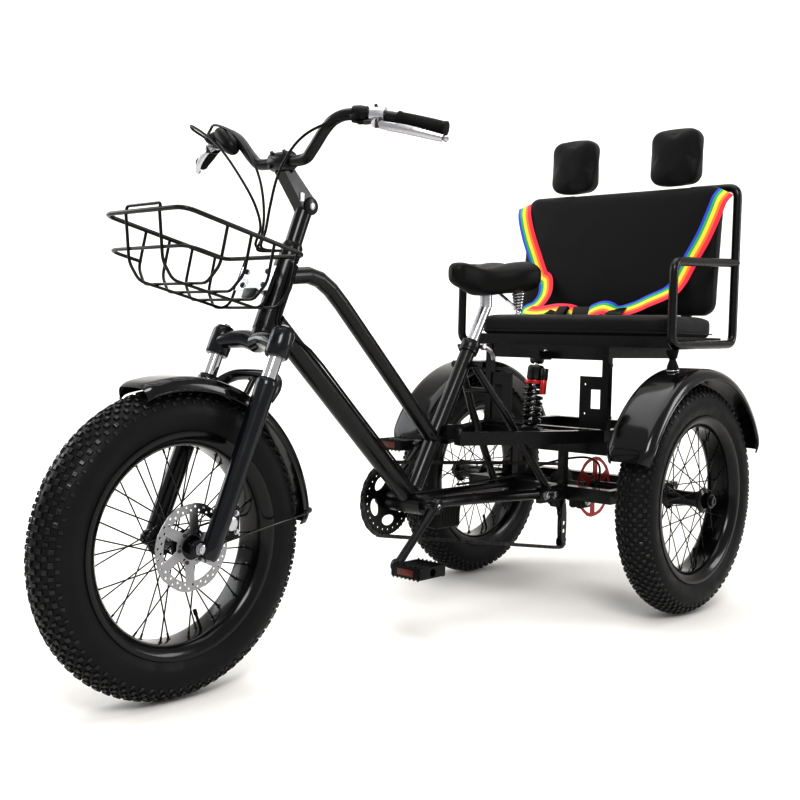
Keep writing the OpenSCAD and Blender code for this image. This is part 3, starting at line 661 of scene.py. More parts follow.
def rounded(name, size, R, r, body, nodes, mx, cap=0.004, mat=None, voxel=0.006):
    """A crowned pad: a slab with corners of radius R and edges of radius r, its face towards local +z."""
    hx, hy, h = (q / 2 for q in size)
    an = [math.pi / 2 * k / 5 for k in range(6)]
    prof = [(-h + r * (1 - math.cos(a)), r * (1 - math.sin(a))) for a in an]
    prof += [(-t, e) for t, e in reversed(prof)]
    hm = min(hx, hy) - r
    prof += [(h + 0.0022, r + hm * 0.16), (h + 0.0036, r + hm * 0.4), (h + 0.0042, r + hm * 0.7)]
    vs, n = [], 0
    for t, e in prof:
        lp = loop_rect(hx - e, hy - e, max(R - e, 0.004), 6)
        n = len(lp)
        vs += [(x, y, t) for x, y in lp]
    fs = [(i * n + k, i * n + (k + 1) % n, (i + 1) * n + (k + 1) % n,
           (i + 1) * n + k) for i in range(len(prof) - 1) for k in range(n)]
    fs += [tuple(range(n - 1, -1, -1)), tuple((len(prof) - 1) * n + k for k in range(n))]
    me = bpy.data.meshes.new(name)
    me.from_pydata([mx @ V(v) for v in vs], [], fs)
    me.materials.append(mat or VINYL)
    o = bpy.data.objects.new(name, me)
    bpy.context.collection.objects.link(o)
    soften(o, cap, voxel)
    if not o.data.materials:
        o.data.materials.append(mat or VINYL)
    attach(o, body)
    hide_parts(*nodes)
    return o


def loop_rect(hx, hy, r, n=5):
    """Points round a rounded rectangle in its own plane."""
    out = []
    for cx, cy, a0 in ((hx - r, hy - r, 0), (-hx + r, hy - r, 90), (-hx + r, -hy + r, 180),
                       (hx - r, -hy + r, 270)):
        for k in range(n + 1):
            a = math.radians(a0 + 90 * k / n)
            out.append((cx + r * math.cos(a), cy + r * math.sin(a)))
    return out


rounded("seat_pad", (0.586, 0.246, 0.047), 0.020, 0.010, "frame", ["seat_cushion"],
        M.Translation(P(0, 1376, 706.5)))
sm = Mesh("seat_pad_seam")
sm.sweep([P(x * 1000, 1376 + y * 1000, 692) for x, y in loop_rect(0.2945, 0.1245, 0.020)], 0.0016, VINYL,
         8, closed=True)
sm.obj("frame")
# The back pad leans; its own frame has x across, y through and z up the lean.
lean = math.atan2(30, 348.5)
BK = M.Translation(P(0, 1487.5, 909.8)) @ M.Rotation(-lean, 4, "X")
FACE = M.Rotation(math.pi / 2, 4, "X")
rounded("back_pad", (0.614, 0.347, 0.036), 0.034, 0.011, "frame", ["back_cushion"], BK @ FACE)
for side, s in SIDES:
    hm = M.Translation(P(160 * s, 1513, 1163.5)) @ M.Rotation(-lean * 0.4, 4, "X")
    rounded(f"headrest_pad_{side}", (0.143, 0.146, 0.046), 0.030, 0.014, "frame", [f"headrest_{side}"],
            hm @ FACE, voxel=0.004)


def ribbon(name, pts, widths, t, mat, body, *rep):
    """A flat strap: centre points, the across direction at each, half thickness t; UV x runs across."""
    me, bm = bpy.data.meshes.new(name), bmesh.new()
    uvl = bm.loops.layers.uv.new("UVMap")
    n, cols = len(pts), 8
    rows = []
    for i, (p, wv) in enumerate(zip(pts, widths)):
        a, b = pts[max(i - 1, 0)], pts[min(i + 1, n - 1)]
        nn = (b - a).normalized().cross(wv).normalized()
        rows.append([[bm.verts.new(p + wv * ((k / cols) - 0.5) * 1.0 + nn * (t * s * (0.4 if k in (0,
                cols) else 1)))
                      for k in range(cols + 1)] for s in (1, -1)])
    for i in range(n - 1):
        for si in (0, 1):
            for k in range(cols):
                q = [rows[i][si][k], rows[i][si][k + 1], rows[i + 1][si][k + 1], rows[i + 1][si][k]]
                f = bm.faces.new(q if si == 0 else q[::-1])
                us = [(k / cols, i), ((k + 1) / cols, i), ((k + 1) / cols, i + 1), (k / cols, i + 1)]
                us = us if si == 0 else us[::-1]
                for lp, uv in zip(f.loops, us):
                    lp[uvl].uv = (min(max(uv[0], 0.001), 0.999), uv[1] / n)
        for k, fl_ in ((0, 0), (cols, 1)):
            q = [rows[i][0][k], rows[i + 1][0][k], rows[i + 1][1][k], rows[i][1][k]]
            f = bm.faces.new(q if fl_ == 0 else q[::-1])
            for lp in f.loops:
                lp[uvl].uv = (0.001 if k == 0 else 0.999, 0.5)
    for i, fl_ in ((0, 0), (n - 1, 1)):
        for k in range(cols):
            q = [rows[i][0][k + 1], rows[i][0][k], rows[i][1][k], rows[i][1][k + 1]]
            f = bm.faces.new(q if fl_ == 0 else q[::-1])
            for lp in f.loops:
                lp[uvl].uv = (k / cols + 0.01, 0.5)
    bm.to_mesh(me)
    bm.free()
    me.materials.append(mat)
    me.shade_smooth()
    me.set_sharp_from_angle(angle=math.radians(50))
    o = bpy.data.objects.new(name, me)
    bpy.context.collection.objects.link(o)
    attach(o, body)
    if rep:
        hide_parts(*rep)
    return o


def bk_pt(x, z, off=0.0):
    """A point on the front of the back pad, x across, z up the pad from its middle (mm), standing off."""
    return BK @ V((x / 1000, -0.0245 - off / 1000, z / 1000))


N_BACK, N_SEAT = V((0, -1, 0.09)), V((0, -0.80, 0.60))


def belt(name, pts, width, split, *rep, t=0.0009):
    """A strap along pts. It lies on the back up to the point numbered split and on the seat after it, and the
    surface's normal gives its across direction."""
    ps = smooth(pts, 6)
    ac = []
    for i in range(len(ps)):
        k = min(max((i / 6 - split) / 2.0, 0), 1)
        tt = (ps[min(i + 1, len(ps) - 1)] - ps[max(i - 1, 0)]).normalized()
        ac.append(lerp(N_BACK, N_SEAT, k).cross(tt).normalized() * width)
    return ribbon(name, ps, ac, t, WEB, "frame", *rep)


belt("rainbow_belt_left", [BK @ V((0.318, -0.014, 0.150)), bk_pt(307, 128, 1.5), bk_pt(294, 92, 1.5),
                           bk_pt(270, 32, 1.5), bk_pt(240, -24, 1.5),
                           bk_pt(218, -72, 4), P(206, 1438, 812), P(190, 1424, 797), P(155, 1400, 777),
                           P(130, 1370, 759), P(100, 1338, 747),
                           P(66, 1322, 757), P(34, 1316, 747), P(20, 1320, 739)], 0.046, 5, "seat_belts")
belt("rainbow_belt_right", [BK @ V((-0.315, -0.014, 0.148)), bk_pt(-306, 118, 1.5), bk_pt(-288, 62, 1.5),
                            bk_pt(-256, -6, 1.5), bk_pt(-228, -60, 3),
                            P(-208, 1448, 838), P(-194, 1425, 800), P(-200, 1398, 768),
                            P(-218, 1372, 752), P(-196, 1345, 745), P(-150, 1334, 743),
                            P(-96, 1330, 750), P(-48, 1326, 748), P(-26, 1330, 740)], 0.046, 4)
bk = Mesh("belt_buckles")
for x, y, z, rot in ((-2, 1318, 743, 0.3), (-60, 1312, 744, -0.4)):
    mx = M.Translation(P(x, y, z)) @ M.Rotation(rot, 4, "Z") @ M.Rotation(0.9, 4, "X")
    bk.box(V((-0.022, -0.018, -0.005)), V((0.022, 0.018, 0.005)), PLAST, 0.003, mx)
bk.obj("frame")
for i, x0 in enumerate((78, -112)):
    pts = smooth([P(x0, 1440, 737), P(x0 + 6, 1400, 752), P(x0 + 16, 1360, 758), P(x0 + 22, 1330, 748),
                  P(x0 + 20, 1312, 739)], 5)
    ribbon(f"black_webbing_{i}", pts, [V((0.038, 0.012, 0))] * len(pts), 0.0009, CABLE, "frame")
for side, s in SIDES:
    ar_ = Mesh(f"armrest_tube_{side}")
    ar_.sweep(fillet([P(s * x, y, z) for x, y, z in ((205, 1539, 1076), (325, 1539, 1076),
                                                     (325, 1539, 668), (325, 1216, 662), (325, 1216, 864),
                                                     (325, 1539, 880))], 0.028, 8), 0.011, PAINT, 20)
    ar_.cyl(P(325 * s, 1534, 879.8), P(325 * s, 1544, 880.2), 0.0112, PAINT, 16)
    ar_.obj("frame", f"armrest_{side}")

# ---------------------------------------------------------------- saddle
sad = Mesh("saddle_shell")
rows = []
NY, NA = 36, 32
for i in range(NY + 1):
    t = i / NY
    y = lerp(774, 1020, t)
    e = max(0.0, 1 - abs(2 * t - 1) ** 9) ** 0.5
    w = (25 + 10 * t + 71 * (1 / (1 + math.exp(-(t - 0.50) * 13)))) * e
    if t > 0.80:
        w *= (1 - ((t - 0.80) / 0.20) ** 3 * 0.34)
    nose, dip_ = math.exp(-((t - 0.05) / 0.22) ** 2), math.exp(-((t - 0.42) / 0.2) ** 2)
    top = 842 + 3.2 * nose - 10 * dip_ + 18 * t ** 2
    dep = lerp(54, 78, t)
    ring = []
    for k in range(NA):
        a = 2 * math.pi * k / NA
        x, z = math.cos(a), math.sin(a)
        xx = w * math.copysign(abs(x) ** 0.75, x)
        zz = (0.42 if z > 0 else 0.60) * dep * math.copysign(abs(z) ** (0.8 if z > 0 else 0.55),
                z) * (0.25 + 0.75 * e)
        dip = -7 * math.exp(-(xx / 16) ** 2) * max(0, z) * min(1, max(0, (t - 0.3) * 4)) + 5 * max(0,
                z) * math.exp(-((abs(xx) - 62) / 30) ** 2) * t
        ring.append(P(xx, y, top - 0.42 * dep + zz + dip))
    rows += ring
fs = [(i * NA + k, i * NA + (k + 1) % NA, (i + 1) * NA + (k + 1) % NA,
       (i + 1) * NA + k) for i in range(NY) for k in range(NA)]
fs += [tuple(range(NA)), tuple(NY * NA + k for k in range(NA))]
sad.add(rows, fs, SADDLE)
so = sad.obj("saddle_post", "saddle", sharp=60)
ss = Mesh("saddle_undercarriage")
for s in (-1, 1):
    ss.sweep(smooth([P(12 * s, 792, 808), P(20 * s, 830, 797), P(22 * s, 900, 794), P(26 * s, 940, 795),
                     P(44 * s, 976, 797)], 6), 0.0034, CHROME, 10)
    helix = [P(50 * s + (8 + 7 * k / 90) * math.cos(k * 0.5), 966 + (8 + 7 * k / 90) * math.sin(k * 0.5),
               736 + k * 0.55) for k in range(104)]
    ss.sweep(helix, 0.0026, CHROME, 8)
    ss.cyl(P(50 * s, 966, 728), P(50 * s, 966, 736), 0.008, CHROME, 20, bevel=0.001)
    ss.sweep([P(50 * s, 966, 738), P(50 * s, 966, 792)], [0.0065, 0.0125], STEEL, 20)
ss.sweep(smooth([P(-50, 966, 734), P(-36, 950, 756), P(0, 936, 782), P(36, 950, 756), P(50, 966, 734)],
                6), 0.0042, CHROME, 10)
ss.box(P(-26, 884, 782), P(26, 932, 803), ALLOY, 0.004)
ss.cyl(P(-33, 906, 792), P(33, 906, 792), 0.0085, ALLOY, 16, bevel=0.001)
ss.bolt(P(33, 906, 792), V((1, 0, 0)), 0.006, STEEL)
ss.obj("saddle_post")

# ---------------------------------------------------------------- steering parts
m = Mesh("handlebar_tube")
bar = [P(0, 250, 1003), P(62, 249, 1002), P(88, 247, 1018), P(124, 246, 1053), P(154, 246, 1069),
       P(190, 254, 1073),
       P(253, 288, 1065), P(347, 324, 1040)]
m.sweep(smooth(bar, 8), 0.0111, PAINT, 16).mirrored()
m.obj("steering", "handlebar")


def along(t):
    """A point on the straight grip part of the left bar: 0 at the bend, 1 at the end."""
    return lerp(bar[6], bar[7], t)


g = Mesh("grips_ribbed")
prof, n = [], 46
for k in range(n + 1):
    t = 0.12 + 0.92 * k / n
    r = 0.0128 + (0.0009 if k % 2 else 0) + 0.0008 * math.sin(math.pi * k / n)
    if k < 3 or k > n - 3:
        r = 0.0146
    prof.append((t, r))
g.sweep([along(t) for t, r in prof], [r for t, r in prof], RUBBER, 20)
g.sweep([along(1.04), along(1.055)], [0.0146, 0.010], RUBBER, 20)
g.mirrored().obj("steering", "grips")


def lever_set(s):
    """Brake lever with its perch, blade, barrel adjuster, bell of bolts; s is the side."""
    mm = Mesh(f"brake_lever_{'left' if s > 0 else 'right'}")

    def Q(x, y, z):
        return P(s * x, y, z)
    mm.sweep([Q(218, 269, 1070.3), Q(230, 275.6, 1069.2), Q(242, 282, 1068.1)], [0.0160, 0.0168, 0.0160],
             ALLOY, 18)
    mm.sweep(smooth([Q(230, 274, 1066), Q(232, 266, 1058), Q(240, 258, 1051)], 5), [0.0085] * 11, ALLOY, 12)
    mm.cyl(Q(244, 260, 1043), Q(244, 260, 1059), 0.0055, STEEL, 12, bevel=0.0006)
    bl = smooth([Q(242, 260, 1051), Q(262, 265, 1045), Q(286, 276, 1040), Q(310, 288, 1034),
                 Q(334, 303, 1027), Q(352, 314, 1022)], 5)
    mm.sweep(bl, [0.0046 + 0.001 * math.sin(math.pi * k / (len(bl) - 1)) for k in range(len(bl))], ALLOY,
             10, squash=1.5)
    mm.ball(Q(355, 319, 1021.5), 0.0062, ALLOY, 10)
    mm.sweep([Q(234, 262, 1056), Q(216, 254, 1055)], 0.0045, STEEL, 10)
    mm.sweep([Q(216, 254, 1055), Q(206, 250, 1055)], 0.0036, PLAST, 10)
    mm.bolt(Q(230, 270, 1084), V((0, -0.4, 1)), 0.003, STEEL)
    return mm


lever_set(1).obj("steering", "brake_levers")
rl = lever_set(-1)
rl.obj("steering")
sh = Mesh("gear_shifter_pod")
sh.sweep([P(-190, 254, 1073), P(-204, 261.6, 1071.8), P(-216, 268, 1070.6)], [0.0165, 0.018, 0.016],
         PLAST, 20)
sh.sweep(smooth([P(-202, 250, 1068), P(-196, 234, 1064), P(-206, 222, 1062)], 5),
         [0.012, 0.013, 0.014, 0.014, 0.013, 0.013, 0.012, 0.011, 0.009, 0.007, 0.004], PLAST, 14)
sh.box(P(-216, 254, 1048), P(-192, 276, 1061), PLAST, 0.004)
sh.obj("steering")
sh = Mesh("shifter_window_pod")
sh.sweep(smooth([P(-184, 238, 1076), P(-160, 232, 1064), P(-138, 230, 1047), P(-120, 231, 1030)], 4),
         [0.008, 0.012, 0.015, 0.0165] + [0.0175] * 6 + [0.015, 0.012, 0.007], PLAST, 16)
sh.obj("steering")
tw = Mesh("left_control_pod")
tw.sweep([P(188, 253.5, 1073), P(200, 259.5, 1072), P(212, 266, 1071)], [0.0155, 0.0168, 0.0155], PLAST, 20)
tw.box(P(190, 240, 1060), P(210, 258, 1072), PLAST, 0.004)
tw.obj("steering")

st = Mesh("stem_angle_adjustable")
st.sweep([S(0, 0, 592), S(0, 0, 597), S(0, 0, 620), S(0, 0, 626)], [0.0205, 0.021, 0.021, 0.0185], PAINT, 28)
st.sweep(smooth([S(0, 0, 618), P(0, 280, 842), P(0, 294, 878), P(0, 309, 914)], 5),
         [0.0175] * 6 + [0.0170] * 10, PAINT, 24)
st.cyl(P(-19, 313, 922), P(19, 313, 922), 0.0178, PAINT, 32, bevel=0.0025)
st.cyl(P(-21.5, 313, 922), P(21.5, 313, 922), 0.0080, ALLOY, 6, bevel=0.001)
arm_ = [(327.2, 933.1), (261.1, 996.6), (243, 982.6), (298.8, 910.9)]
st.add([P(x, y, z) for x in (-15, 15) for y, z in arm_], [(0, 1, 2, 3), (7, 6, 5, 4), (0, 4, 5, 1),
                                                          (1, 5, 6, 2), (2, 6, 7, 3), (3, 7, 4, 0)], PAINT)
st.cyl(P(-26, 250, 1003), P(26, 250, 1003), 0.0190, PAINT, 32, bevel=0.0025)
for x in (-18, 18):
    for y, z in ((239, 1018), (234, 992)):
        st.bolt(P(x, y, z), V((0, y - 250, z - 1003)), 0.0036, STEEL)
st.box(P(14.8, 283, 929), P(16.2, 295, 946), ALLOY, 0.0006)
st.bolt(P(15, 262, 986), V((1, 0, 0)), 0.0040, STEEL)
st.obj("steering", "stem")

cb = Mesh("brake_and_gear_cables")
for pts in (((-206, 250, 1055), (-240, 238, 1076), (-262, 232, 1090), (-252, 222, 1094),
             (-193, 215, 1067), (-128, 205, 1028), (-65, 200, 970),
             (-22, 200, 917), (-4, 200, 872), (-12, 196, 836)),
            ((-206, 222, 1062), (-214, 240, 1084), (-196, 236, 1092), (-150, 228, 1080),
             (-102, 216, 1060), (-44, 204, 1016), (-4, 198, 958),
             (8, 198, 898), (4, 196, 850), (-4, 194, 828)),
            ((206, 250, 1055), (188, 236, 1062), (129, 215, 1048), (83, 205, 1020), (45, 200, 969),
             (24, 200, 914), (14, 198, 866), (6, 195, 832))):
    cb.sweep(smooth([P(*q) for q in pts] + [S(pts[-1][0] * 1.4, -30, 596)], 7), 0.0026, CABLE, 8)
cb.obj("steering", "steering_cables")

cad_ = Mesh("fork_crown_cast")
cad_.sweep([S(0, 0, 412), S(0, 0, 438.5)], 0.0228, PAINT, 32)
FORK = new_mat("fork_gloss_blue_black", (0.004, 0.005, 0.008), 0.22, spec=0.3, coat=0.3, coat_rough=0.06,
               bump=(60, 0.05, 0.001), rvar=(20, 0.14, 0.26))
for s in (-1, 1):
    arm = smooth([S(0, -4, 412), S(s * 30, -12, 416), S(s * 62, -21, 410), S(s * 87, -24, 402)], 6)
    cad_.sweep(arm, [0.027 - 0.005 * k / (len(arm) - 1) for k in range(len(arm))], FORK, 20, squash=0.72)
    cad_.sweep([S(s * 87, -24, z) for z in (376, 379, 400, 424, 430)], [0.0205, 0.0225, 0.0232, 0.0225,
            0.0195], FORK, 28)
    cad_.cyl(S(s * 87, -24, 430), S(s * 87, -24, 435), 0.0165, PLAST, 24, bevel=0.001)
    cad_.cyl(S(s * 87, -24, 435), S(s * 87, -24, 440), 0.009, ALLOY, 6, bevel=0.0006)
    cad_.cyl(S(s * 87, -24, 300), S(s * 87, -24, 378), 0.0140, CHROME, 32)
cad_.cyl(S(0, 0, 438.5), S(0, 0, 610), 0.0168, STEEL, 20)
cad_.obj("steering", "fork_crown")

lw = Mesh("fork_lower_legs")
for s in (-1, 1):
    zs = [(-14, 12), (-8, 16), (10, 17.5), (60, 18.4), (200, 19), (290, 19.6), (318, 20.6), (326, 20.6),
          (329, 19)]
    lw.sweep([S(s * 87, -24, z) for z, r in zs], [r / 1000 for z, r in zs], FORK, 28)
    lw.cyl(S(s * 87, -24, 327), S(s * 87, -24, 333), 0.0178, RUBBER, 24, bevel=0.0015)
    lw.sweep([S(s * 84, -26, 16), S(s * 77, -36, 4), S(s * 74, -43, 0)], [0.013, 0.013, 0.014], FORK, 16,
             squash=0.5)
    lw.cyl(S(s * 68.5, -43, 0), S(s * 80, -43, 0), 0.0155, FORK, 24, bevel=0.002)
    lw.bolt(S(s * 87, -24, -14), S(0, 0, -1) - S(0, 0, 0), 0.005, ALLOY)
ar = smooth([S(-87, -8, 300), S(-84, 2, 326), S(-66, 12, 346), S(-34, 15, 353), S(34, 15, 353),
             S(66, 12, 346), S(84, 2, 326), S(87, -8, 300)], 6)
lw.sweep(ar, 0.0095, FORK, 16, squash=1.25)
lw.box(V((-0.014, -0.004, -0.012)), V((0.014, 0.012, 0.010)), FORK, 0.003,
       SM @ M.Translation(V((0, 0.014, 0.352))))
# brake caliper with its bracket on the left leg
lw.box(P(46, 64, 292), P(54.5, 98, 350), PLAST, 0.005)
lw.box(P(60.5, 62, 290), P(67, 100, 352), PLAST, 0.005)
lw.box(P(46, 92, 296), P(67, 101, 346), PLAST, 0.004)
lw.cyl(P(66, 80, 320), P(71, 80, 320), 0.0135, ALLOY, 20, bevel=0.001)
lw.box(P(67, 50, 300), P(76, 70, 344), PAINT, 0.003)
for z in (304, 338):
    lw.bolt(P(67, 92, z), V((1, 0, 0)), 0.0042, ALLOY)
lw.obj("steering", "fork_lowers")
ax = Mesh("front_axle_nuts")
ax.cyl(P(-92, 0, 285), P(92, 0, 285), 0.0050, ALLOY, 16)
for s in (-1, 1):
    ax.cyl(P(82 * s, 0, 285), P(84 * s, 0, 285), 0.0115, ALLOY, 24)
    ax.cyl(P(84 * s, 0, 285), P(91 * s, 0, 285), 0.0095, ALLOY, 6, bevel=0.001)
ax.obj("steering", "front_axle")

# ---------------------------------------------------------------- fenders
def fender(name, c, ri, hw, a0, a1):
    """A thin rolled fender: crowned section, beaded edges, ends that curl."""
    mm = Mesh(name)
    ctr = P(*c)
    sec = []
    for k in range(-12, 13):
        t = k / 12
        x = hw * math.sin(t * math.pi / 2 * 0.96) * 1.02
        h = 5 - 5 * abs(t) ** 2.4 - 19 * max(0, (abs(t) - 0.45) / 0.55) ** 2
        sec.append((x, h))
    n = 64
    vs = []
    for i in range(n + 1):
        t = i / n
        a = math.radians(a0 + (a1 - a0) * t)
        e = min(t, 1 - t) * n
        taper = 1 - 0.16 * max(0, 1 - e / 3.5) ** 2
        for s_, th in ((1, 0), (-1, 1.8)):
            for x, h in (sec if s_ > 0 else sec[::-1]):
                r = ri + h - th - 4 * max(0, 1 - e / 2.5) ** 2
                vs.append(ctr + V((x * taper, r * math.cos(a), r * math.sin(a))) / 1000)
    k2 = 2 * len(sec)
    fs = [(i * k2 + k, i * k2 + (k + 1) % k2, (i + 1) * k2 + (k + 1) % k2,
           (i + 1) * k2 + k) for i in range(n) for k in range(k2)]
    fs += [tuple(range(k2)), tuple(n * k2 + k for k in range(k2))]
    mm.add(vs, fs, GLOSS)
    for s_ in (-1, 1):
        edge = []
        for i in range(n + 1):
            t = i / n
            a = math.radians(a0 + (a1 - a0) * t)
            taper = 1 - 0.16 * max(0, 1 - min(t, 1 - t) * n / 3.5) ** 2
            r = ri - 19.6 - 4 * max(0, 1 - min(t, 1 - t) * n / 2.5) ** 2
            edge.append(ctr + V((s_ * hw * taper, r * math.cos(a), r * math.sin(a))) / 1000)
        mm.sweep(edge, 0.0022, GLOSS, 8)
    return mm


for side, s in SIDES:
    mm = fender(f"rear_fender_{side}_shell", (HALF_TRACK * s, REAR_Y, AXLE_Z), 318, 60, 20, 160)
    mm.sweep([P(325 * s, 1228, 598), P(325 * s, 1226.6, 612), P(325 * s, 1225, 628),
              P(325 * s, 1223.5, 640), P(325 * s, 1222.3, 651)],
             [0.016, 0.0135, 0.0075, 0.0135, 0.016], RUBBER, 20)
    mm.cyl(P(325 * s, 1228, 600), P(325 * s, 1227.5, 604), 0.016, ALLOY, 24, bevel=0.001)
    mm.obj("frame", f"rear_fender_{side}")
mm = fender("front_fender_shell", (0, 0, AXLE_Z), 300, 50, 2, 108)
mm.sweep([P(0, 303 * math.cos(1.0123), 285 + 303 * math.sin(1.0123)), P(0, 346 * math.cos(1.0123),
        285 + 346 * math.sin(1.0123))], 0.006, PAINT, 14)
mm.box(P(-12, 302, 362), P(12, 308, 384), ALLOY, 0.002)
mm.bolt(P(0, 312, 350), V((0, 1, 0.25)), 0.005, ALLOY)
mm.obj("steering", "front_fender")
stay = Mesh("front_fender_stays")
for s in (-1, 1):
    stay.sweep([P(s * 49, 290, 322), P(s * 60, 270, 318), P(s * 66, 180, 306), P(s * 66.5, 20, 280)],
               0.0021, PAINT, 8)
    stay.cyl(P(s * 46, 292, 322), P(s * 52, 290, 322), 0.006, STEEL, 12, bevel=0.0006)
stay.obj("steering")

# ---------------------------------------------------------------- basket of round wire
bs = Mesh("wire_basket")
BT = M.Translation(P(0, -72, 877)) @ M.Rotation(math.radians(-12.8), 4, "X")


def B(x, u, z):
    return BT @ (V((x, u, z)) / 1000)


def rect(hw_, u0, u1, z, r_, rad):
    pts = [V((hw_, u0)), V((hw_, u1)), V((-hw_, u1)), V((-hw_, u0))]
    out = []
    for i in range(4):
        a, b, c_ = pts[i - 1], pts[i], pts[(i + 1) % 4]
        p, q = b + (a - b).normalized() * rad, b + (c_ - b).normalized() * rad
        out += [p * (1 - t) ** 2 + b * 2 * t * (1 - t) + q * t * t for t in (0, 0.2, 0.4, 0.6, 0.8, 1)]
    bs.sweep([B(p.x, p.y, z) for p in out], r_, PAINT, 12, closed=True)


rect(120, 0, 285, 0, 0.0042, 26)
bs.sweep(fillet([B(120, 97, -60), B(120, 23, -60), B(-120, 23, -60), B(-120, 97, -60)], 0.028, 7), 0.0032,
         PAINT, 10)
for u in (95, 150, 205, 262):
    bs.sweep(fillet([B(120, u, 0), B(120, u, -73), B(92, u, -105), B(-92, u, -105), B(-120, u, -73),
                     B(-120, u, 0)], 0.012, 4), 0.0028, PAINT, 8)
for x in (-50, 50):
    bs.sweep(fillet([B(x, 0, 0), B(x, 27, -84), B(x, 55, -110), B(x, 250, -110), B(x, 266, -94),
                     B(x, 284, 0)], 0.012, 4), 0.0028, PAINT, 8)
bs.sweep(fillet([B(-50, 1, -3), B(-50, 0, 11), B(50, 0, 11), B(50, 1, -3)], 0.009, 5), 0.0028, PAINT, 8)
bs.obj("frame", "basket")
bp = Mesh("basket_mount_plate")
slots = [[(x + dx * 0.5, z + dz) for dx, dz in ((-.012, -.004), (.012, -.004), (.014, 0), (.012, .004),
                                                (-.012, .004), (-.014, 0))]
         for x in (-0.030, 0.030) for z in (-0.014, 0.014)]
pm = SM @ M.Translation(V((0, -0.060, 0.522))) @ M.Rotation(math.pi / 2, 4, "X")
bp.plate([[(-.0486, -.025), (.0486, -.025), (.0486, .025), (-.0486, .025)]] + slots, pm, 0.004, ALLOY, 0.0006)
bp.box(V((-0.012, -0.0585, 0.505)), V((0.012, -0.0232, 0.540)), PAINT, 0.001, SM)
for x in (-0.030, 0.030):
    for z in (0.508, 0.536):
        bp.bolt(SM @ V((x, -0.062, z)), SM.to_3x3() @ V((0, -1, 0)), 0.0042, STEEL, 0.003)
bp.box(V((-0.018, -0.066, 0.480)), V((0.018, -0.056, 0.500)), PAINT, 0.002, SM)
bp.obj("frame", "basket_plate")

# ---------------------------------------------------------------- drive
def gear(n, r, depth=0.0036):
    pts = []
    for i in range(n):
        for f, h in ((-0.30, 0), (-0.12, 1), (0.12, 1), (0.30, 0)):
            a = 2 * math.pi * (i + f) / n
            pts.append(((r - depth * (1 - h)) * math.cos(a), (r - depth * (1 - h)) * math.sin(a)))
    return pts


BB = (0, 642, 298)
CA = math.radians(223.8)
PED = (165 * math.cos(CA), 165 * math.sin(CA))
ck = Mesh("crankset_arms_and_ring")
RX = M.Translation(P(-62, BB[1], BB[2])) @ M.Rotation(math.pi / 2, 4, "Y")
loops = [gear(40, 0.0805)]
for i in range(5):
    a0 = 2 * math.pi * i / 5
    win = []
    for k in range(16):
        a = 2 * math.pi * k / 16
        rr, ta = 0.0480 + 0.0130 * math.sin(a), a0 + 0.44 * math.cos(a)
        win.append((rr * math.cos(ta), rr * math.sin(ta)))
    loops.append(win)
    for d in (0.0, 0.25, 0.5, 0.76, 1.01):
        loops.append(circle(0.0030, 10, 0.0690 * math.cos(a0 + d), 0.0690 * math.sin(a0 + d)))
ck.plate(loops, RX, 0.003, PAINT, 0.0004)
ck.plate([circle(0.083, 72), circle(0.0755, 72)], RX @ M.Translation(V((0, 0, -0.0045))), 0.0022, PLAST,
         0.0004)
ck.cyl(P(-90, *BB[1:]), P(-58, *BB[1:]), 0.0165, PAINT, 28, bevel=0.002)
ck.cyl(P(68, *BB[1:]), P(90, *BB[1:]), 0.0165, PAINT, 28, bevel=0.002)
ck.cyl(P(-84, *BB[1:]), P(84, *BB[1:]), 0.0119, STEEL, 24)
for s in (1, -1):
    a, b = P(78 * s, *BB[1:]), P(78 * s, BB[1] + s * PED[0], BB[2] + s * PED[1])
    ck.sweep([a, lerp(a, b, 0.1), lerp(a, b, 0.5), lerp(a, b, 0.9), b],
             [0.0145, 0.0130, 0.0105, 0.0105, 0.0125], PAINT, 16, squash=0.72)
    ck.cyl(b - V((0.008, 0, 0)), b + V((0.008, 0, 0)), 0.0135, PAINT, 24, bevel=0.0015)
    ck.cyl(P(90 * s, *BB[1:]), P(91.5 * s, *BB[1:]), 0.0060, ALLOY, 20, bevel=0.0004)
ck.obj("crank", "crankset")
for side, s in SIDES:
    pd = Mesh(f"pedal_{side}_caged")
    c0 = P(0, BB[1] + s * PED[0], BB[2] + s * PED[1])

    def pb(x0, y0, z0, x1, y1, z1, mt, bv=0.002):
        lo_ = V((min(s * x0, s * x1), y0, z0)) / 1000 + c0
        hi_ = V((max(s * x0, s * x1), y1, z1)) / 1000 + c0
        pd.box(lo_, hi_, mt, bv)
    pd.cyl(c0 + V((0.066 * s, 0, 0)), c0 + V((0.176 * s, 0, 0)), 0.0049, STEEL, 14)
    pd.cyl(c0 + V((0.099 * s, 0, 0)), c0 + V((0.178 * s, 0, 0)), 0.0115, PLAST, 20, bevel=0.003)
    pb(98, -41, -12, 105, 41, 12, PLAST, 0.004)
    pb(172, -41, -12, 178, 41, 12, PLAST, 0.004)
    for y in (-1, 1):
        pb(100, y * 39.5 - 1.5, -12, 177, y * 39.5 + 1.5, 12, PLAST, 0.0018)
        pb(116, y * 41 - 0.9, -7, 160, y * 41 + 0.4, 7, REFL, 0.0006)
        for k in range(6):
            pb(101 + k * 13, min(y * 12, y * 39), -10, 104.5 + k * 13, max(y * 12, y * 39), 10, PLAST, 0.001)
        for k in range(7):
            for z in (-1, 1):
                q = c0 + V((s * (104 + k * 11.3), y * 39.5, z * 12)) / 1000
                pd.cyl(q, q + V((0, 0, 0.0020 * z)), 0.0020, PLAST, 8)
    pd.obj(f"{side}_pedal", f"pedal_{side}")

# chain: outer and inner links along the loop round the ring, over the sprocket, down the derailleur and back
CX = -62


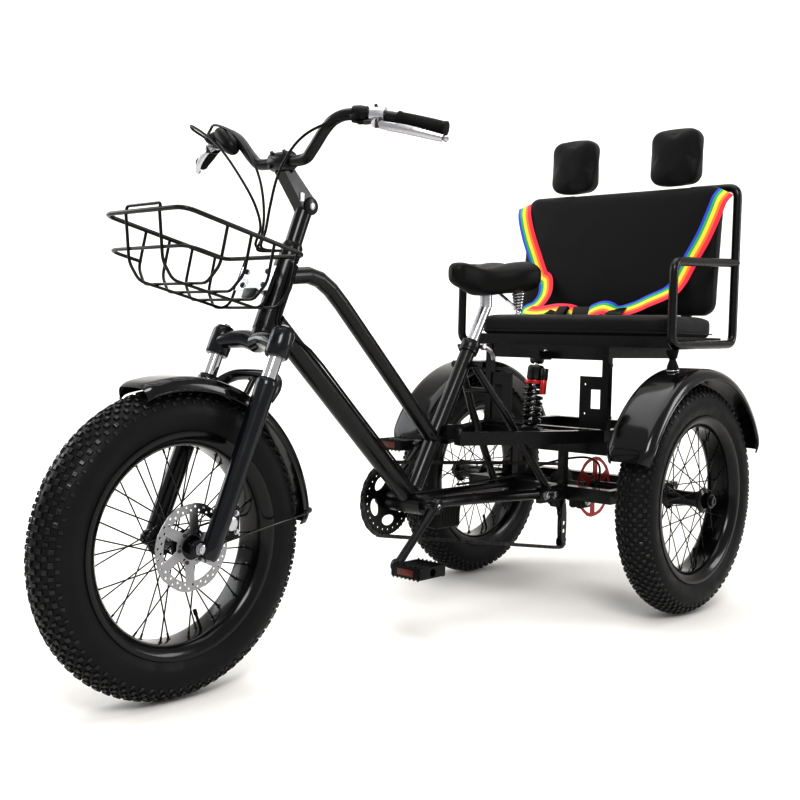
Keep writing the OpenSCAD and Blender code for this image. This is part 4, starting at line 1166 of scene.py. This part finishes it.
def chain_path():
    cy, cz, R = BB[1], BB[2], 84.0
    py, pz = 1300, 285
    pts = []
    for k in range(0, 15):
        a = math.radians(86 + 177 * k / 14)
        pts.append((CX, cy + R * math.cos(a), cz + R * math.sin(a)))
    low = [(-59, 900, 171), (-56, 1200, 122), (-52, 1316, 104)]
    arc1 = [(-50, 1334 + 14 * math.cos(a),
             118 + 14 * math.sin(a)) for a in (math.radians(v) for v in (-75, -35, 0, 45, 80, 130))]
    mid_ = [(-50, 1322, 156)]
    arc2 = [(-50, 1332 - 13 * math.cos(a), 200 - 13 * math.sin(a)) for a in (math.radians(v) for v in (60,
            20, -20, -60))]
    up_ = [(-51, 1342, 236)]
    arc3 = [(-55, py + 49 * math.cos(a), pz + 49 * math.sin(a)) for a in (math.radians(v) for v in (-25,
            0, 25, 50, 75, 92))]
    top = [(-57, 1100, 350), (-60, 800, 371)]
    return [P(*p) for p in pts + low + arc1 + mid_ + arc2 + up_ + arc3 + top]


cp = smooth(chain_path(), 10, closed=True)
cum = [0.0]
for i in range(len(cp)):
    cum.append(cum[-1] + (cp[(i + 1) % len(cp)] - cp[i]).length)
total, pitch_ = cum[-1], 0.0127
nl = int(total / pitch_ / 2) * 2
ch = Mesh("roller_chain")
k = 0
joints_ = []
for i in range(nl):
    d = total * i / nl
    while cum[k + 1] < d:
        k += 1
    joints_.append(lerp(cp[k % len(cp)], cp[(k + 1) % len(cp)], (d - cum[k]) / (cum[k + 1] - cum[k])))
for i in range(nl):
    a, b = joints_[i], joints_[(i + 1) % nl]
    t = (b - a).normalized()
    n_ = t.cross(V((1, 0, 0))).normalized()
    off = 0.0030 if i % 2 else 0.0019
    for s in (-1, 1):
        vs = []
        for p, e in ((a, -0.0036), (a, 0.0), (lerp(a, b, 0.5), 0), (b, 0.0), (b, 0.0036)):
            hgt = 0.0022 if e else (0.0030 if p is lerp(a, b, 0.5) else 0.0041)
            for q in (-1, 1):
                for th in (0, 0.0009):
                    vs.append(p + t * e + n_ * hgt * q + V((s * (off + th), 0, 0)))
        fs = []
        for j in range(4):
            o_ = j * 4
            fs += [(o_, o_ + 4, o_ + 5, o_ + 1), (o_ + 2, o_ + 3, o_ + 7, o_ + 6),
                   (o_ + 1, o_ + 5, o_ + 7, o_ + 3), (o_, o_ + 2, o_ + 6, o_ + 4)]
        fs += [(0, 1, 3, 2), (16, 18, 19, 17)]
        ch.add(vs, fs, STEEL)
    ch.cyl(a - V((0.0040, 0, 0)), a + V((0.0040, 0, 0)), 0.0019, STEEL, 6)
    ch.cyl(a - V((0.0019, 0, 0)), a + V((0.0019, 0, 0)), 0.0038, STEEL, 8)
ch.obj("frame", "chain", sharp=45)

ds = Mesh("driven_shaft_and_sprockets")
ds.cyl(P(-160, 1300, 285), P(160, 1300, 285), 0.00985, STEEL, 24)
for i in range(7):
    x = -56 + i * 4.6
    gm = M.Translation(P(x + 1, 1300, 285)) @ M.Rotation(math.pi / 2, 4, "Y")
    tn = 14 + i * 2
    ds.plate([gear(tn, 0.0282 + i * 0.0028, 0.004)] + ([circle(0.0035, 8, 0.029 * math.cos(q * 1.0472),
            0.029 * math.sin(q * 1.0472)) for q in range(6)] if i > 3 else []),
             gm, 0.002, STEEL, 0.0003)
ds.cyl(P(-58, 1300, 285), P(-24, 1300, 285), 0.0195, STEEL, 28, bevel=0.001)
ds.cyl(P(54, 1300, 285), P(67, 1300, 285), 0.0275, PAINT, 32, bevel=0.002)
ds.obj("drive_axle", "drive_shaft")

dr = Mesh("derailleur_detailed")
for x in (-55.5, -44.5):
    mm_ = M.Translation(P(x, 1333, 170)) @ M.Rotation(math.pi / 2, 4, "Y")
    dr.plate([[(0.062 * math.copysign(abs(math.cos(a)) ** 0.8, math.cos(a)),
                0.0125 * math.sin(a)) for a in [2 * math.pi * q / 24 for q in range(24)]],
              circle(0.006, 10, 0.022, 0), circle(0.006, 10, 0.0, 0)], mm_, 0.0018, PAINT, 0.0003)
for z, r in ((118, 0.0125), (200, 0.0115)):
    gm = M.Translation(P(-50, 1333, z)) @ M.Rotation(math.pi / 2, 4, "Y")
    dr.plate([gear(11, r, 0.0028)], gm, 0.003, PLAST, 0.0003)
    dr.cyl(P(-57, 1333, z), P(-43, 1333, z), 0.0035, STEEL, 12, bevel=0.0005)
dr.sweep([P(-62, 1316, 270), P(-62, 1330, 240), P(-58, 1340, 206)], [0.013, 0.017, 0.014], PAINT, 16,
         squash=0.8)
for z in (118, 200):
    dr.cyl(P(-58, 1333, z), P(-54.8, 1333, z), 0.0150, PAINT, 20, bevel=0.0008)
dr.box(P(-84, 1318, 212), P(-56, 1344, 246), PAINT, 0.006)
dr.box(P(-90, 1304, 238), P(-82, 1344, 268), ALLOY, 0.003)
for y, z in ((1322, 222), (1340, 240)):
    dr.bolt(P(-84, y, z), V((-1, 0, 0)), 0.003, STEEL)
dr.obj("frame", "derailleur")

cbx = Mesh("motor_controller_case")
cbx.box(P(-30, 708, 232), P(30, 792, 283.4), PLAST, 0.006, seg=3)
for k in range(7):
    cbx.box(P(29.5, 716 + k * 10.4, 240), P(30.8, 721 + k * 10.4, 275), PLAST, 0.0004)
    cbx.box(P(-30.8, 716 + k * 10.4, 240), P(-29.5, 721 + k * 10.4, 275), PLAST, 0.0004)
cbx.cyl(P(0, 709, 246), P(0, 703, 246), 0.007, RUBBER, 14, bevel=0.001)
cbx.obj("frame", "controller_box")

# ---------------------------------------------------------------- shock absorber with its reservoir and coil
sk = Mesh("shock_absorber_coil")
A, Bt = P(0, 1100, 446.4), P(0, 1122, 617.6)
ad = (Bt - A).normalized()
su = V((1, 0, 0))
sv = ad.cross(su)
Lk = (Bt - A).length
sk.cyl(A, A + ad * Lk, 0.0065, CHROME, 20)
coil = []
for k in range(220):
    t = k / 219
    a = t * 2 * math.pi * 6.5
    coil.append(A + ad * (0.018 + t * 0.092) + su * 0.0215 * math.cos(a) + sv * 0.0215 * math.sin(a))
sk.sweep(coil, 0.0046, GLOSS, 10)
sk.sweep([A + ad * 0.010, A + ad * 0.014, A + ad * 0.018], [0.024, 0.026, 0.022], PAINT, 28)
sk.sweep([A + ad * 0.110, A + ad * 0.114, A + ad * 0.119], [0.0255, 0.0265, 0.0255], RED, 32)
sk.sweep([A + ad * 0.119, A + ad * 0.124, A + ad * 0.152, A + ad * 0.158], [0.018, 0.021, 0.021, 0.017],
         PAINT, 28)
sk.cyl(A - su * 0.016, A + su * 0.016, 0.0105, PAINT, 20, bevel=0.001)
sk.cyl(Bt - su * 0.015, Bt + su * 0.015, 0.0105, PAINT, 20, bevel=0.001)
rs = A + su * 0.030 + sv * -0.004
sk.cyl(rs + ad * 0.085, rs + ad * 0.122, 0.0085, RED, 20, bevel=0.0015)
sk.cyl(rs + ad * 0.120, rs + ad * 0.150, 0.0095, PAINT, 20, bevel=0.0015)
sk.cyl(rs + ad * 0.142, Bt - ad * 0.028, 0.007, PAINT, 14)
for s in (-1, 1):
    sk.bolt(A + su * 0.016 * s, su * s, 0.0055, ALLOY)
sk.obj("frame", "shock_absorber")

# ---------------------------------------------------------------- seat collar and frame details
spo = Mesh("seat_collar_quick_release")
sd = V((0, 0.508, 0.8613))
T0 = P(0, 853, 657)
spo.cyl(T0 - sd * 0.020, T0 + sd * 0.002, 0.0228, PAINT, 32, bevel=0.0015)
spo.cyl(T0 - sd * 0.010 + V((-0.026, 0.018, 0)), T0 - sd * 0.010 + V((0.026, 0.018, 0)), 0.0045, ALLOY, 14)
spo.cyl(T0 - sd * 0.010 + V((0.022, 0.018, 0)), T0 - sd * 0.010 + V((0.032, 0.018, 0)), 0.008, ALLOY, 16,
        bevel=0.001)
spo.sweep(smooth([T0 - sd * 0.010 + V((0.030, 0.018, 0)), T0 - sd * 0.014 + V((0.031, 0.045, -0.008)),
                  T0 - sd * 0.026 + V((0.026, 0.066, -0.014))], 5), 0.0042, ALLOY, 10, squash=1.5)
spo.obj("frame")

fb = Mesh("frame_bolts_and_clips")
for s in (-1, 1):
    for y, z in ((1052, 286), (1088, 286)):
        fb.bolt(P(88 * s, y, z), V((1, 0, 0)) * s, 0.0085, ALLOY, 0.006)
    for y in (1052, 1088):
        fb.bolt(P(74 * s, y, 286), V((-1, 0, 0)) * s, 0.0070, ALLOY, 0.004)
    fb.bolt(P(36.2 * s, 770, 454), V((s, 0, 0)), 0.007, STEEL, 0.005)
    for y, z in ((1150, 470), (1150, 600)):
        fb.bolt(P(190 * s, 1165, z + 10), V((s, 0, 0)), 0.005, STEEL, 0.004)
    fb.bolt(P(194 * s, 1300, 400), V((s, 0, 0)), 0.005, STEEL, 0.004)
fb.bolt(P(0, 1160, 638), V((0, -1, 0)), 0.005, ALLOY, 0.003)
fb.obj("frame")
cl = Mesh("rear_brake_caliper")
cl.box(P(52, 1212, 236), P(64.5, 1262, 276), PLAST, 0.005)
cl.box(P(71.5, 1212, 236), P(86, 1262, 276), PLAST, 0.005)
cl.box(P(52, 1208, 240), P(86, 1220, 274), PLAST, 0.004)
cl.box(P(74, 1165, 262), P(80, 1225, 272), PAINT, 0.002)
cl.cyl(P(86, 1240, 256), P(92, 1240, 256), 0.013, ALLOY, 20, bevel=0.001)
cl.sweep(smooth([P(88, 1250, 262), P(104, 1262, 300), P(120, 1240, 350), P(110, 1200, 372),
                 P(60, 1176, 366), P(16, 1140, 350), P(10, 1000, 330), P(12, 800, 326)], 6), 0.0026, CABLE, 8)
cl.obj("frame")

# ---------------------------------------------------------------- finishes of the CAD parts that stay
SLOT_MAT = {"frame_paint": PAINT, "tyre_rubber": TYRE, "rim_black": RIMM, "vinyl": VINYL, "webbing": WEB,
            "black_plastic": PLAST, "gloss_black": GLOSS, "cable_rubber": CABLE, "bright_metal": ALLOY,
            "red_disc": RED,
            "steel": STEEL, "shock_black": GLOSS}
for sp in frame["record"]["subparts"]:
    for sl in NODES[sp["node"]].material_slots:
        sl.material = SLOT_MAT[sp["material_slot"]]
